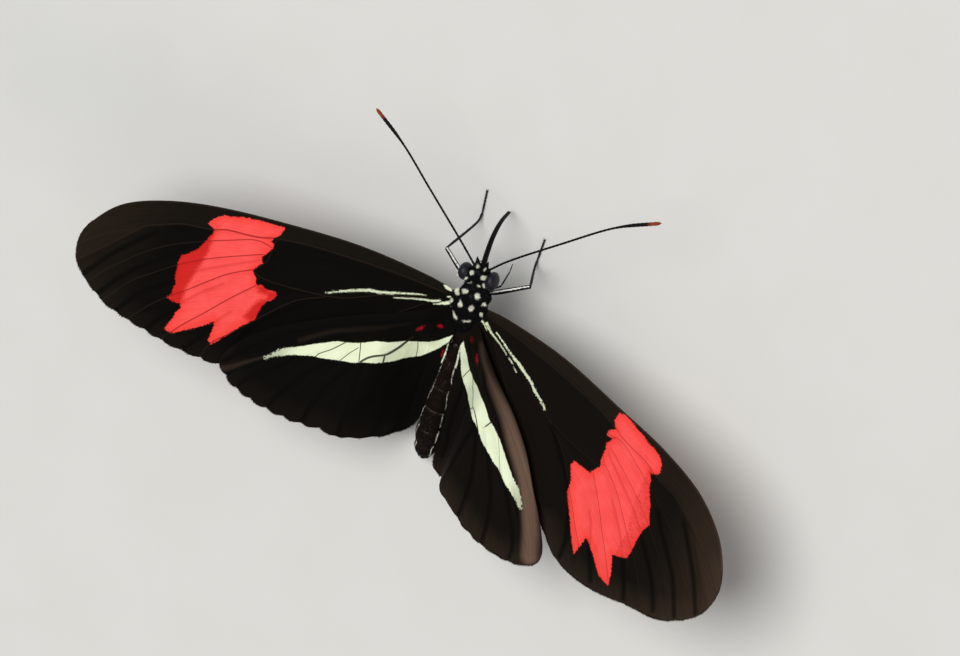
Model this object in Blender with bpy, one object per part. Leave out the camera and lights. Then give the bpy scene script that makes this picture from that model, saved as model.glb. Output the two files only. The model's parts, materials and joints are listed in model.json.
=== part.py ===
"""Red postman butterfly, life size, standing with its four wings spread.

Millimetres are used for every size below and become metres in place(). The working frame has
x to the butterfly's left, y towards its tail and z up, with its origin midway between the wing
roots. place() lifts that origin to WING_HEIGHT above the floor.
"""

import math

import bmesh
import bpy
from mathutils import Matrix, Vector
from mathutils.geometry import delaunay_2d_cdt

MM = 0.001
WING_HEIGHT = 7.8       # wing roots above the floor
CENTRE_SHIFT = (0.19, -0.315)    # sideways and back, so that the origin is under the middle of the whole
GAP = 0.3               # between a piece and what it grows from
BODY_PITCH = 21.7       # degrees, head above tail

THORAX_CENTRE = Vector((0.0, 0.0, -0.35))
THORAX_HALF = Vector((1.75, 2.95, 1.65))
COLLAR_CENTRE = Vector((0.04, -2.3, 0.72))     # the short first ring of the thorax, behind the head
COLLAR_HALF = Vector((1.25, 0.72, 0.85))
HEAD_CENTRE = Vector((0.1, -3.95, 1.05))
HEAD_HALF = Vector((1.25, 1.0, 1.05))
HEAD_YAW = 8.0          # degrees, face turned to the butterfly's left
HEAD_NOD = 18.0         # degrees, face turned down
EYE_OFFSET = Vector((1.15, 0.05, 0.0))
EYE_HALF = Vector((0.68, 0.82, 0.88))

# Abdomen stations: distance back, height, half width
ABDOMEN = [
    (2.3, -1.05, 0.95),
    (4.2, -1.45, 0.68),
    (6.5, -2.05, 0.78),
    (9.3, -2.95, 0.98),
    (11.8, -3.90, 1.20),
    (14.3, -4.95, 1.36),
    (16.0, -5.70, 1.15),
    (17.1, -6.18, 0.70),
    (17.5, -6.36, 0.28),
]
SEGMENTS = 8            # visible rings of the abdomen
SEGMENT_GROOVE = 0.07

WING_THICK = 0.5
VEIN_HALF_WIDTH = 0.24
VEIN_RISE = 0.12
WING_CELL = 2.3         # spacing of the points that carry the wing's curve
MARGIN_STEP = 0.9       # spacing of points along a wing's edge
NICK_DEPTH = 0.22       # the edge runs in a little where a vein meets it
NICK_HALF_WIDTH = 1.0
VEIN_STEP = 2.0
DIHEDRAL = 0.232        # rise of the wings for each millimetre outwards
DROOP = 0.0010          # fall of the tips, for each square millimetre
HIND_LIFT = 1.1         # hindwing above forewing where they overlap
TROUGH_EDGE = 6.0       # the hindwing dips beside the abdomen from here inwards
TROUGH_HEIGHT = 0.3     # height of the dip at its front
TROUGH_SLOPE = 0.42     # fall of the dip for each millimetre back
TROUGH_START = 2.5

FORE_PIVOT = (1.9, 0.0)
HIND_PIVOT = (1.9, 2.2)
FORE_SWEEP = {"left": 1.0, "right": -1.0}    # degrees, tip towards the tail
HIND_SWEEP = {"left": -2.0, "right": 2.0}

# Forewing edge: costa, round apex, outer margin, inner margin
FORE_EDGE = [
    (0.6, -0.75), (4.6, -1.2), (11.7, -1.0), (19.0, 0.25), (25.2, 1.6), (30.0, 3.2), (34.0, 5.55),
    (36.0, 8.8), (36.3, 11.2), (35.2, 13.5), (32.3, 15.2), (28.2, 16.0), (23.7, 16.4), (19.4, 16.0),
    (17.3, 14.7), (13.0, 11.4), (8.6, 7.6), (5.4, 4.6), (3.4, 2.95), (2.6, 2.2), (2.0, 1.3), (1.4, 1.0), (0.6, 0.75),
]
# Hindwing edge: costa, apex, scalloped outer margin, inner margin beside the abdomen
HIND_EDGE = [
    (0.5, 1.6), (2.4, 1.8), (5.8, 3.7), (9.2, 5.7), (12.2, 7.85), (15.0, 10.1), (17.5, 13.0), (18.6, 15.7),
    (17.5, 17.1), (15.2, 17.9), (12.4, 18.1), (9.7, 17.8), (7.1, 17.1), (4.9, 16.6), (3.1, 16.4),
    (2.2, 15.0), (1.9, 12.0), (1.6, 9.0), (1.4, 6.0), (1.2, 3.6), (0.5, 2.5),
]
FORE_VEINS = {
    "radius": [(2.6, -0.4), (7.5, -0.1), (15.0, 1.0), (19.6, 1.9), (25.5, 3.8), (31.0, 6.9), (35.0, 12.1)],
    "radius_five": [(20.6, 3.1), (24.5, 5.3), (30.0, 9.3), (33.9, 13.5)],
    "median_one": [(20.0, 4.3), (24.5, 7.3), (28.6, 11.0), (32.0, 14.8)],
    "median_two": [(20.2, 6.1), (23.2, 8.7), (26.2, 11.9), (29.6, 15.4)],
    "median_three": [(19.3, 6.8), (22.0, 11.0), (25.2, 14.6), (26.4, 15.7)],
    "cubitus": [(2.6, 0.35), (7.7, 2.4), (12.2, 4.0), (18.9, 6.0)],
    "cubitus_one": [(16.0, 5.9), (19.6, 10.2), (22.6, 15.8)],
    "cubitus_two": [(12.7, 4.9), (16.0, 8.3), (18.6, 12.4), (19.3, 15.4)],
    "cell_end": [(19.7, 2.7), (19.3, 4.4), (19.6, 5.6)],
    "anal": [(4.0, 1.5), (8.4, 5.9), (12.6, 10.2), (17.3, 14.0)],
}
HIND_VEINS = {
    "subcosta": [(2.2, 2.2), (6.0, 4.5), (11.0, 7.8), (15.4, 11.6), (18.0, 15.6)],
    "radial": [(4.6, 4.5), (8.4, 7.0), (12.8, 11.2), (17.0, 16.7)],
    "median_one": [(8.2, 7.9), (10.8, 11.2), (15.6, 17.2)],
    "median_two": [(7.9, 9.0), (9.6, 12.2), (12.4, 17.6)],
    "median_three": [(7.2, 9.9), (8.2, 13.0), (9.1, 17.1)],
    "cubitus": [(1.9, 3.0), (3.6, 5.6), (5.0, 7.7), (7.1, 9.3)],
    "cubitus_one": [(5.5, 8.9), (6.1, 12.5), (6.2, 16.4)],
    "cubitus_two": [(3.8, 6.7), (4.1, 11.0), (4.2, 16.1)],
    "anal": [(2.2, 4.7), (2.7, 10.0), (2.9, 15.6)],
}

LEG_HALF = 0.27         # half thickness of a leg
# Walking legs: hip, knee, ankle, heel, toe, with x outwards. The right middle leg bends in under the head
MID_LEG = {
    "left": [(0.7, -1.3, -1.5), (4.6, -3.95, -1.0), (4.95, -5.55, -6.6), (5.1, -6.45, -7.58), (5.6, -8.65, -7.66)],
    "right": [(0.7, -1.3, -1.5), (4.6, -4.85, -1.0), (2.3, -4.5, -6.6), (1.9, -5.0, -7.58), (1.7, -7.2, -7.66)],
}
HIND_LEG = [(0.7, 1.3, -1.5), (4.0, 6.0, -2.1), (5.5, 9.6, -6.6), (5.85, 10.5, -7.58), (6.7, 12.6, -7.66)]
# The short first pair is folded against the breast
FORE_LEG = [(0.6, -2.1, -0.9), (1.55, -3.0, -1.5), (1.6, -4.5, -2.0), (1.2, -5.0, -3.1)]

ANTENNA_HALF = 0.25
CLUB_HALF = 0.32
ANTENNA_PATH = {
    "left": [(0.55, -4.45, 1.7), (3.55, -6.93, 2.65), (6.8, -8.92, 3.0), (10.1, -11.27, 3.4), (13.0, -12.7, 3.6),
             (15.5, -14.05, 3.6)],
    "right": [(-0.55, -4.6, 1.7), (-3.55, -7.95, 2.5), (-6.8, -10.95, 2.5), (-10.1, -14.1, 2.6),
              (-12.6, -16.25, 2.5), (-14.7, -17.75, 2.4)],
}
PROBOSCIS_HALF = 0.26
PROBOSCIS_PATH = [(0.25, -4.5, -0.1), (0.6, -5.6, -0.75), (1.25, -6.75, -2.1), (2.0, -7.7, -4.3), (2.5, -8.1, -7.0)]
PALP_HALF = 0.30
PALP_TIP = {"left": Vector((1.05, -5.3, 0.5)), "right": Vector((-0.4, -5.5, 0.5))}
PALP_ROOT = {"left": Vector((0.85, -4.4, 0.1)), "right": Vector((-0.3, -4.55, 0.1))}

SIDES = {"left": 1.0, "right": -1.0}


def clear_scene():
    for old in list(bpy.data.objects):
        bpy.data.objects.remove(old, do_unlink=True)


def material(name, colour, roughness, metallic=0.0):
    found = bpy.data.materials.get(name)
    if found:
        return found
    made = bpy.data.materials.new(name)
    made.use_nodes = True
    shader = made.node_tree.nodes["Principled BSDF"]
    shader.inputs["Base Color"].default_value = (*colour, 1.0)
    shader.inputs["Roughness"].default_value = roughness
    shader.inputs["Metallic"].default_value = metallic
    return made


def place(point):
    """From the working frame in millimetres to the row frame in metres."""
    return Vector((point[0] + CENTRE_SHIFT[0], point[1] + CENTRE_SHIFT[1], point[2] + WING_HEIGHT)) * MM


def smooth(t):
    t = min(1.0, max(0.0, t))
    return t * t * (3.0 - 2.0 * t)


def curve_point(points, t):
    """Catmull-Rom curve through the points, at t from 0 to len(points) - 1."""
    i = min(int(t), len(points) - 2)
    u = t - i
    here, after = Vector(points[i]), Vector(points[i + 1])
    before = Vector(points[i - 1]) if i > 0 else here * 2.0 - after
    beyond = Vector(points[i + 2]) if i + 2 < len(points) else after * 2.0 - here
    return 0.5 * (
        here * 2.0
        + (after - before) * u
        + (before * 2.0 - here * 5.0 + after * 4.0 - beyond) * u * u
        + (here * 3.0 - before - after * 3.0 + beyond) * u * u * u
    )


def along(points, step):
    """Points about one step apart on the smooth curve through the given points."""
    made = []
    for i in range(len(points) - 1):
        length = (Vector(points[i + 1]) - Vector(points[i])).length
        count = max(1, round(length / step))
        made += [curve_point(points, i + k / count) for k in range(count)]
    return made + [Vector(points[-1])]


def station(table, value):
    """Each column of a table of rows, read at one value of its first column."""
    value = min(max(value, table[0][0]), table[-1][0])
    for low, high in zip(table, table[1:]):
        if value <= high[0]:
            break
    share = smooth((value - low[0]) / (high[0] - low[0]))
    return [a + (b - a) * share for a, b in zip(low, high)]


def new_object(name, mesh_data, look):
    mesh = bpy.data.meshes.new(name)
    mesh_data.to_mesh(mesh)
    mesh_data.free()
    mesh.materials.append(look)
    made = bpy.data.objects.new(name, mesh)
    bpy.context.collection.objects.link(made)
    mesh.shade_smooth()
    mesh.set_sharp_from_angle(angle=math.radians(40))
    return made


def skin_rings(rings):
    """One closed body through rings of equal count, with a fan over each end."""
    data = bmesh.new()
    loops = [[data.verts.new(place(p)) for p in ring] for ring in rings]
    count = len(loops[0])
    for low, high in zip(loops, loops[1:]):
        for i in range(count):
            j = (i + 1) % count
            data.faces.new((low[i], low[j], high[j], high[i]))
    for loop in (loops[0], loops[-1]):
        middle = data.verts.new(sum((v.co for v in loop), Vector()) / count)
        for i in range(count):
            data.faces.new((loop[i], loop[(i + 1) % count], middle))
    bmesh.ops.recalc_face_normals(data, faces=data.faces)
    bmesh.ops.triangulate(data, faces=data.faces)
    return data


def tube(path, half, sides=8):
    """A round body along a path; half gives its half thickness at a share of the way."""
    rings = []
    side = Vector((1.0, 0.0, 0.0))
    for i, point in enumerate(path):
        ahead = (path[min(i + 1, len(path) - 1)] - path[max(i - 1, 0)]).normalized()
        side = (side - ahead * side.dot(ahead)).normalized()
        up = ahead.cross(side)
        size = half(i / (len(path) - 1))
        turns = [math.tau * (k + 0.5) / sides for k in range(sides)]
        rings.append([point + (side * math.cos(a) + up * math.sin(a)) * size for a in turns])
    return skin_rings(rings)


def ball(centre, half, turn, segments=20, rings=12):
    data = bmesh.new()
    bmesh.ops.create_uvsphere(data, u_segments=segments, v_segments=rings, radius=1.0)
    shape = Matrix.Translation(centre) @ turn @ Matrix.Diagonal((*half, 1.0))
    for vertex in data.verts:
        vertex.co = place(shape @ vertex.co)
    bmesh.ops.triangulate(data, faces=data.faces)
    return data


def body_turn():
    return Matrix.Rotation(math.radians(-BODY_PITCH), 4, "X")


def head_turn():
    yaw = Matrix.Rotation(math.radians(HEAD_YAW), 4, "Z")
    return yaw @ Matrix.Rotation(math.radians(HEAD_NOD), 4, "X")


def grown(half, extra):
    return half + Vector((extra, extra, extra))


def thorax_data(extra=0.0):
    """A blunt egg: fuller than an ellipsoid towards both ends."""
    half = grown(THORAX_HALF, extra)
    rings = []
    for i in range(13):
        back = math.cos(math.pi * (i + 0.35) / 12.7)
        size = (1.0 - abs(back) ** 2.5) ** 0.4
        ring = []
        for k in range(20):
            turn = math.tau * k / 20
            point = Vector((math.cos(turn) * size * half.x, -back * half.y, math.sin(turn) * size * half.z))
            ring.append(THORAX_CENTRE + body_turn() @ point)
        rings.append(ring)
    return skin_rings(rings)


def collar_data(extra=0.0):
    return ball(COLLAR_CENTRE, grown(COLLAR_HALF, extra), body_turn(), 16, 10)


def breast_cutters():
    """The whole thorax, grown by the gap, to cut its neighbours clear of it."""
    return [cutter(thorax_data(GAP)), cutter(collar_data(GAP))]


def head_data(extra=0.0):
    return ball(HEAD_CENTRE, grown(HEAD_HALF, extra), head_turn())


def solve(target, tools, operation):
    """Joins or cuts with closed bodies, keeps the largest closed surface and drops the tools."""
    group = bpy.data.collections.new("tools")
    for tool in tools:
        tool.hide_render = True
        tool.display_type = "WIRE"
        group.objects.link(tool)
    step = target.modifiers.new("solid", "BOOLEAN")
    step.operation = operation
    step.operand_type = "COLLECTION"
    step.collection = group
    step.solver = "EXACT"
    bpy.context.view_layer.update()
    result = bpy.data.meshes.new_from_object(target.evaluated_get(bpy.context.evaluated_depsgraph_get()))
    target.modifiers.remove(step)
    target.data = result
    for tool in tools:
        bpy.data.objects.remove(tool, do_unlink=True)
    bpy.data.collections.remove(group)
    keep_largest(target)
    return target


def keep_largest(target):
    data = bmesh.new()
    data.from_mesh(target.data)
    left = set(data.verts)
    islands = []
    while left:
        stack = [left.pop()]
        island = set(stack)
        while stack:
            for edge in stack.pop().link_edges:
                for vertex in edge.verts:
                    if vertex in left:
                        left.discard(vertex)
                        island.add(vertex)
                        stack.append(vertex)
        islands.append(island)
    islands.sort(key=len)
    for island in islands[:-1]:
        bmesh.ops.delete(data, geom=list(island), context="VERTS")
    bmesh.ops.triangulate(data, faces=data.faces)
    data.to_mesh(target.data)
    data.free()


def cutter(data):
    return new_object("cutter", data, material("cutter", (0.5, 0.5, 0.5), 0.5))


def wing_height(x, y, hind):
    """Height of a wing's middle layer. The hindwing rides above and dips beside the abdomen."""
    x = max(x, 0.0)
    rise = DIHEDRAL * x - DROOP * x * x
    if not hind:
        return rise
    rise += HIND_LIFT * smooth((x - 1.0) / 2.5)
    beside = TROUGH_HEIGHT - TROUGH_SLOPE * max(0.0, y - TROUGH_START)
    share = smooth((TROUGH_EDGE - x) / 4.0) * smooth((y - TROUGH_START) / 3.2)
    return rise * (1.0 - share) + beside * share


def swept(point, pivot, degrees):
    """Turns a wing point about its pivot, tip towards the tail."""
    angle = math.radians(degrees)
    x, y = point[0] - pivot[0], point[1] - pivot[1]
    return Vector((
        pivot[0] + x * math.cos(angle) - y * math.sin(angle),
        pivot[1] + x * math.sin(angle) + y * math.cos(angle),
    ))


def clear_of_abdomen(point):
    """Keeps a hindwing point outside the abdomen's flank."""
    if point.y < 3.2:
        return point
    return Vector((max(point.x, station(ABDOMEN, point.y)[2] + GAP), point.y))


def nick(outline, line):
    """Moves the edge in where a vein ends on it."""
    inward = (line[-2] - line[-1]).normalized()
    for point in outline:
        share = (point - line[-1]).length / NICK_HALF_WIDTH
        point += inward * NICK_DEPTH * max(0.0, 1.0 - share)


def offset_line(line, distance):
    moved = []
    for i, point in enumerate(line):
        ahead = (line[min(i + 1, len(line) - 1)] - line[max(i - 1, 0)]).normalized()
        moved.append(point + Vector((-ahead.y, ahead.x)) * distance)
    return moved


def distance_to(point, line):
    """Distance from a flat point to a line of flat points."""
    best = 1e9
    for a, b in zip(line, line[1:]):
        span = b - a
        share = min(1.0, max(0.0, (point - a).dot(span) / span.length_squared))
        best = min(best, (a + span * share - point).length)
    return best


def inside(point, outline):
    crossings = 0
    for a, b in zip(outline, outline[1:] + outline[:1]):
        if (a.y > point.y) != (b.y > point.y):
            if point.x < a.x + (b.x - a.x) * (point.y - a.y) / (b.y - a.y):
                crossings += 1
    return crossings % 2 == 1


def wing_data(side, edge, veins, pivot, sweep, hind):
    """One wing: the same triangles on both faces, with the veins raised in both."""
    settle = (lambda p: clear_of_abdomen(swept(p, pivot, sweep))) if hind else (lambda p: swept(p, pivot, sweep))
    outline = [settle(p) for p in along(edge, MARGIN_STEP)]
    lines = [[settle(p) for p in along(points, VEIN_STEP)] for points in veins.values()]
    for line in lines:
        nick(outline, line)
    flat = list(outline)
    edges = []
    for line in lines:
        for shifted in (line, offset_line(line, VEIN_HALF_WIDTH), offset_line(line, -VEIN_HALF_WIDTH)):
            start = len(flat)
            flat += shifted
            edges += [(start + i, start + i + 1) for i in range(len(shifted) - 1)]
    row = WING_CELL * math.sqrt(3.0) / 2.0
    for j in range(-2, 22):
        for i in range(-1, 34):
            spot = Vector((WING_CELL * (i + 0.5 * (j % 2)), row * j))
            near_vein = min(distance_to(spot, line) for line in lines) < VEIN_HALF_WIDTH + 0.6
            if inside(spot, outline) and not near_vein and distance_to(spot, outline + outline[:1]) > 0.8:
                flat.append(spot)
    rim = [list(range(len(outline)))]
    points, _, faces, _, _, _ = delaunay_2d_cdt(flat, edges, rim, 1, 1e-4)
    layer = []
    for p in points:
        near = min(distance_to(p, line) for line in lines)
        rise = VEIN_RISE * max(0.0, 1.0 - near / VEIN_HALF_WIDTH)
        half = WING_THICK / 2.0 + rise
        layer.append((p, wing_height(p.x, p.y, hind), half))
    data = bmesh.new()
    top = [data.verts.new(place((side * p.x, p.y, z + half))) for p, z, half in layer]
    low = [data.verts.new(place((side * p.x, p.y, z - half))) for p, z, half in layer]
    rims = {}
    for face in faces:
        data.faces.new([top[i] for i in face])
        data.faces.new([low[i] for i in reversed(face)])
        for a, b in zip(face, face[1:] + face[:1]):
            rims[(a, b)] = True
    for a, b in rims:
        if (b, a) not in rims:
            data.faces.new((top[a], low[a], low[b]))
            data.faces.new((top[a], low[b], top[b]))
    used = {v for f in data.faces for v in f.verts}
    bmesh.ops.delete(data, geom=[v for v in data.verts if v not in used], context="VERTS")
    bmesh.ops.recalc_face_normals(data, faces=data.faces)
    return data


def make_wing(name, side_name, edge, veins, pivot, sweep, hind):
    look = material("wing_black", (0.012, 0.011, 0.012), 0.7)
    side = SIDES[side_name]
    data = wing_data(side, edge, veins, pivot, sweep[side_name], hind)
    wing = new_object(name, data, look)
    return solve(wing, breast_cutters(), "DIFFERENCE")


def make_thorax():
    thorax = new_object("thorax", thorax_data(), material("body_black", (0.014, 0.013, 0.014), 0.8))
    return solve(thorax, [cutter(collar_data())], "UNION")


def make_head():
    head = new_object("head", head_data(), material("head_black", (0.014, 0.013, 0.014), 0.8))
    neck = tube([HEAD_CENTRE, Vector((0.0, -2.2, 0.45))], lambda t: 0.72, 14)
    solve(head, [cutter(neck)], "UNION")
    return solve(head, breast_cutters(), "DIFFERENCE")


def make_eye(side_name):
    side = SIDES[side_name]
    offset = Vector((side * EYE_OFFSET.x, EYE_OFFSET.y, EYE_OFFSET.z))
    centre = HEAD_CENTRE + head_turn() @ offset
    look = material("eye_slate", (0.05, 0.06, 0.08), 0.25)
    eye = new_object("eye_" + side_name, ball(centre, EYE_HALF, head_turn(), 18, 12), look)
    return solve(eye, [cutter(head_data(GAP)), *breast_cutters()], "DIFFERENCE")


def make_abdomen():
    rings = []
    steps = 40
    front, back = ABDOMEN[0][0], ABDOMEN[-1][0]
    for i in range(steps + 1):
        y, z, wide = station(ABDOMEN, front + (back - front) * i / steps)
        groove = SEGMENT_GROOVE * (1.0 - abs(math.sin(math.pi * SEGMENTS * i / steps)))
        wide = max(wide - groove, 0.2)
        lean = Vector((0.0, math.sin(math.radians(BODY_PITCH)), math.cos(math.radians(BODY_PITCH))))
        turns = [math.tau * k / 16 for k in range(16)]
        rings.append([
            Vector((0.0, y, z)) + Vector((math.cos(a) * wide, 0.0, 0.0)) + lean * (math.sin(a) * wide * 1.08)
            for a in turns
        ])
    abdomen = new_object("abdomen", skin_rings(rings), material("abdomen_brown", (0.05, 0.035, 0.03), 0.75))
    return solve(abdomen, breast_cutters(), "DIFFERENCE")


def leg_path(joints, step):
    """Straight between joints, with each joint a little rounded."""
    path = [joints[0]]
    for before, joint, after in zip(joints, joints[1:], joints[2:]):
        reach = 0.45
        path.append(joint + (before - joint).normalized() * reach)
        path.append(joint + ((before - joint).normalized() + (after - joint).normalized()) * reach * 0.25)
        path.append(joint + (after - joint).normalized() * reach)
    path.append(joints[-1])
    dense = [path[0]]
    for a, b in zip(path, path[1:]):
        count = max(1, round((b - a).length / step))
        dense += [a.lerp(b, (k + 1) / count) for k in range(count)]
    return dense


def flatten_feet(data):
    for vertex in data.verts:
        vertex.co.z = max(vertex.co.z, 0.0)


def make_leg(name, joints, side):
    points = [Vector((side * x, y, z)) for x, y, z in joints]
    data = tube(leg_path(points, 1.2), lambda t: LEG_HALF)
    flatten_feet(data)
    leg = new_object(name, data, material("leg_black", (0.02, 0.018, 0.018), 0.6))
    return solve(leg, breast_cutters(), "DIFFERENCE")


def make_antenna(side_name):
    path = along([Vector(p) for p in ANTENNA_PATH[side_name]], 1.2)
    half = lambda t: ANTENNA_HALF + (CLUB_HALF - ANTENNA_HALF) * smooth((t - 0.78) / 0.1) - 0.2 * smooth((t - 0.93) / 0.07)
    antenna = new_object("antenna_" + side_name, tube(path, half), material("feeler_black", (0.02, 0.017, 0.016), 0.5))
    return solve(antenna, [cutter(head_data(GAP))], "DIFFERENCE")


def make_proboscis():
    path = along([Vector(p) for p in PROBOSCIS_PATH], 0.9)
    data = tube(path, lambda t: PROBOSCIS_HALF - 0.08 * t)
    proboscis = new_object("proboscis", data, material("tongue_black", (0.02, 0.016, 0.015), 0.35))
    return solve(proboscis, [cutter(head_data(GAP))], "DIFFERENCE")


def make_palp(side_name):
    root, tip = PALP_ROOT[side_name], PALP_TIP[side_name]
    bow = (root + tip) / 2.0 + Vector((0.0, -0.25, -0.25))
    data = tube(along([root, bow, tip], 0.3), lambda t: PALP_HALF * (1.0 - 0.55 * t * t))
    palp = new_object("palp_" + side_name, data, material("palp_black", (0.02, 0.018, 0.018), 0.8))
    return solve(palp, [cutter(head_data(GAP))], "DIFFERENCE")


def build():
    clear_scene()
    make_thorax()
    make_head()
    make_abdomen()
    make_proboscis()
    for side, sign in SIDES.items():
        make_eye(side)
        make_palp(side)
        make_antenna(side)
        make_wing("wing_fore_" + side, side, FORE_EDGE, FORE_VEINS, FORE_PIVOT, FORE_SWEEP, False)
        make_wing("wing_hind_" + side, side, HIND_EDGE, HIND_VEINS, HIND_PIVOT, HIND_SWEEP, True)
        make_leg("leg_fore_" + side, FORE_LEG, sign)
        make_leg("leg_mid_" + side, MID_LEG[side], sign)
        make_leg("leg_hind_" + side, HIND_LEG, sign)


build()
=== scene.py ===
# %% [markdown]
# A red postman butterfly, life size, standing with its wings spread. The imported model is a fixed
# frame of plain solids. Every piece below is modelled over one of those solids, takes its place
# and rides on the same body, so nothing here moves or resizes the part. The working units are
# millimetres, with x to the butterfly's left, y towards its tail and z up from between the wing
# roots, because a wing vein is easier to think about as 0.1 than as 0.0001.

# %% Load the frame
import json
import math

import bmesh
import bpy
import numpy as np
from mathutils import Matrix, Vector

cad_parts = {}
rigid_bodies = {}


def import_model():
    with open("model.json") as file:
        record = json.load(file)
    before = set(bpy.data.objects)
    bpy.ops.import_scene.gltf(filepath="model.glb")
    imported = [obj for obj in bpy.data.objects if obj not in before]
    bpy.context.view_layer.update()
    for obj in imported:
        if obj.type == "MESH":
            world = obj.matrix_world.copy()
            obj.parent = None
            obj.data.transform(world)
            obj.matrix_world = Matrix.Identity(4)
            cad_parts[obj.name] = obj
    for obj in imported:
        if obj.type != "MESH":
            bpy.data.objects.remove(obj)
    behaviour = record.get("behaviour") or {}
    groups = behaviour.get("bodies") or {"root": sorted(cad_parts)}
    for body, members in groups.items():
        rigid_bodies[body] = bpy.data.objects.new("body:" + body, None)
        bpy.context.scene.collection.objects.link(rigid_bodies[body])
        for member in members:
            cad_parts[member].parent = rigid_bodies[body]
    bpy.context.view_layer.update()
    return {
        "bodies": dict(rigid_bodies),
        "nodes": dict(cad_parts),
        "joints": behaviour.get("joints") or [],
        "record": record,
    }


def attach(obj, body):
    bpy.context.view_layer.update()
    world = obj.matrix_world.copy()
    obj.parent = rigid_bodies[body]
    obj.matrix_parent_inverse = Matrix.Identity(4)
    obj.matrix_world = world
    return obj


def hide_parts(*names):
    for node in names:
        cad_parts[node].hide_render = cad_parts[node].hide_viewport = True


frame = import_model()
MM = 0.001
WING_HUB = Vector((0.19, -0.315, 7.8))      # the working origin, in millimetres of the frame
TO_FRAME = Matrix.Scale(MM, 4) @ Matrix.Translation(WING_HUB)
random = np.random.default_rng(7)
print("solids in the frame:", len(frame["nodes"]))

# %% [markdown]
# The photograph looks down on the butterfly from in front and from its right, through a long lens.
# Three directions give that view: towards the camera, the picture's right and its top. A long lens
# more than a metre away keeps the wings' proportions as the photograph has them, and the aim point
# puts the body where it is in the picture, so the camera needs no shift.

# %% Camera
TOWARDS_CAMERA = Vector((-0.28246, -0.30071, 0.91093))
PICTURE_RIGHT = Vector((-0.83243, -0.39509, -0.38854))
PICTURE_UP = TOWARDS_CAMERA.cross(PICTURE_RIGHT)
AIM = (WING_HUB + PICTURE_RIGHT * 1.05 - PICTURE_UP * 1.91) * MM
FIELD_WIDTH = 91.7 * MM
CAMERA_DISTANCE = 1.2

camera_data = bpy.data.cameras.new("camera")
camera_data.lens = camera_data.sensor_width * CAMERA_DISTANCE / FIELD_WIDTH
camera_data.clip_start = 0.01
camera = bpy.data.objects.new("camera", camera_data)
bpy.context.collection.objects.link(camera)
camera_turn = Matrix((PICTURE_RIGHT, PICTURE_UP, TOWARDS_CAMERA)).transposed().to_4x4()
camera.matrix_world = Matrix.Translation(AIM + TOWARDS_CAMERA * CAMERA_DISTANCE) @ camera_turn
bpy.context.scene.camera = camera
print("lens", round(camera_data.lens), "mm, camera", round(camera.matrix_world.translation.z, 2), "m up")

# %% [markdown]
# Colours are written as the hex values that a colour picker shows. Blender mixes light in linear
# values, so one function turns them. A second function adds a shader node with its settings and
# its links in one line, and gives its first output, which keeps each material short enough to
# read. Colours are laid over one another like coats of paint, and every finish ends with a relief.
# The view transform is the plain one, because the film-like default would wash out this red.

# %% Material helpers
def hex_colour(text):
    """An sRGB hex colour as linear red, green, blue and alpha."""
    parts = [int(text[i:i + 2], 16) / 255.0 for i in (1, 3, 5)]
    return (*[c / 12.92 if c <= 0.04045 else ((c + 0.055) / 1.055) ** 2.4 for c in parts], 1.0)


def fill(tree, node, values):
    """Sets or links a node's inputs: a row fills the open ones in order, a dictionary names them."""
    if isinstance(values, dict):
        pairs = [(node.inputs[name], value) for name, value in values.items()]
    else:
        pairs = zip([socket for socket in node.inputs if socket.enabled], values)
    for socket, value in pairs:
        if isinstance(value, bpy.types.NodeSocket):
            tree.links.new(value, socket)
        else:
            socket.default_value = hex_colour(value) if isinstance(value, str) else value


def add_node(tree, kind, values=(), **settings):
    """Adds a node with its settings and its inputs, and gives its first open output."""
    node = tree.nodes.new("ShaderNode" + kind)
    for setting, value in settings.items():
        setattr(node, setting, value)
    fill(tree, node, values)
    return next(socket for socket in node.outputs if socket.enabled)


def new_material(name, roughness, specular=0.5):
    """An empty material: returns it, its node tree and its shader."""
    made = bpy.data.materials.new(name)
    made.use_nodes = True
    shader = made.node_tree.nodes["Principled BSDF"]
    fill(made.node_tree, shader, {"Roughness": roughness, "Specular IOR Level": specular})
    return made, made.node_tree, shader


def painted(tree, colour, *layers):
    """A colour with others laid over it. Each layer is a share from 0 to 1, and its colour."""
    for share, over in layers:
        colour = add_node(tree, "Mix", (share, colour, over), data_type="RGBA")
    return colour


def dress(tree, shader, colour, height, strength, depth_mm):
    """Gives the shader its colour, and a relief that a pattern raises by about depth_mm."""
    relief = add_node(tree, "Bump", {"Height": height, "Strength": strength, "Distance": depth_mm * MM})
    fill(tree, shader, {"Base Color": colour, "Normal": relief})


def object_pattern(tree, kind, size_mm, **inputs):
    """A noise or cell texture on object coordinates whose features are about size_mm across."""
    where = add_node(tree, "TexCoord").node.outputs["Object"]
    scaled = add_node(tree, "Mapping", {"Vector": where, "Scale": [1.0 / (size_mm * MM)] * 3})
    return add_node(tree, kind, {"Vector": scaled, "Scale": 1.0, **inputs})


bpy.context.scene.view_settings.view_transform = "Standard"
print("red of the patch in linear light:", [round(c, 3) for c in hex_colour("#FF4A4A")])

# %% [markdown]
# Soft daylight falls on the butterfly from high up. One broad overhead light gives it, a weaker one
# from the side of the head shapes the body, and a pale sky fills the shadows. The floor is plain.

# %% Floor, lights and sky
def soft_light(name, place, aim, size, watts, colour):
    data = bpy.data.lights.new(name, "AREA")
    data.shape = "DISK"
    data.size = size
    data.energy = watts
    data.color = hex_colour(colour)[:3]
    light = bpy.data.objects.new(name, data)
    facing = (aim - Vector(place)).to_track_quat("-Z", "Y").to_matrix().to_4x4()
    light.matrix_world = Matrix.Translation(place) @ facing
    bpy.context.collection.objects.link(light)


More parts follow.
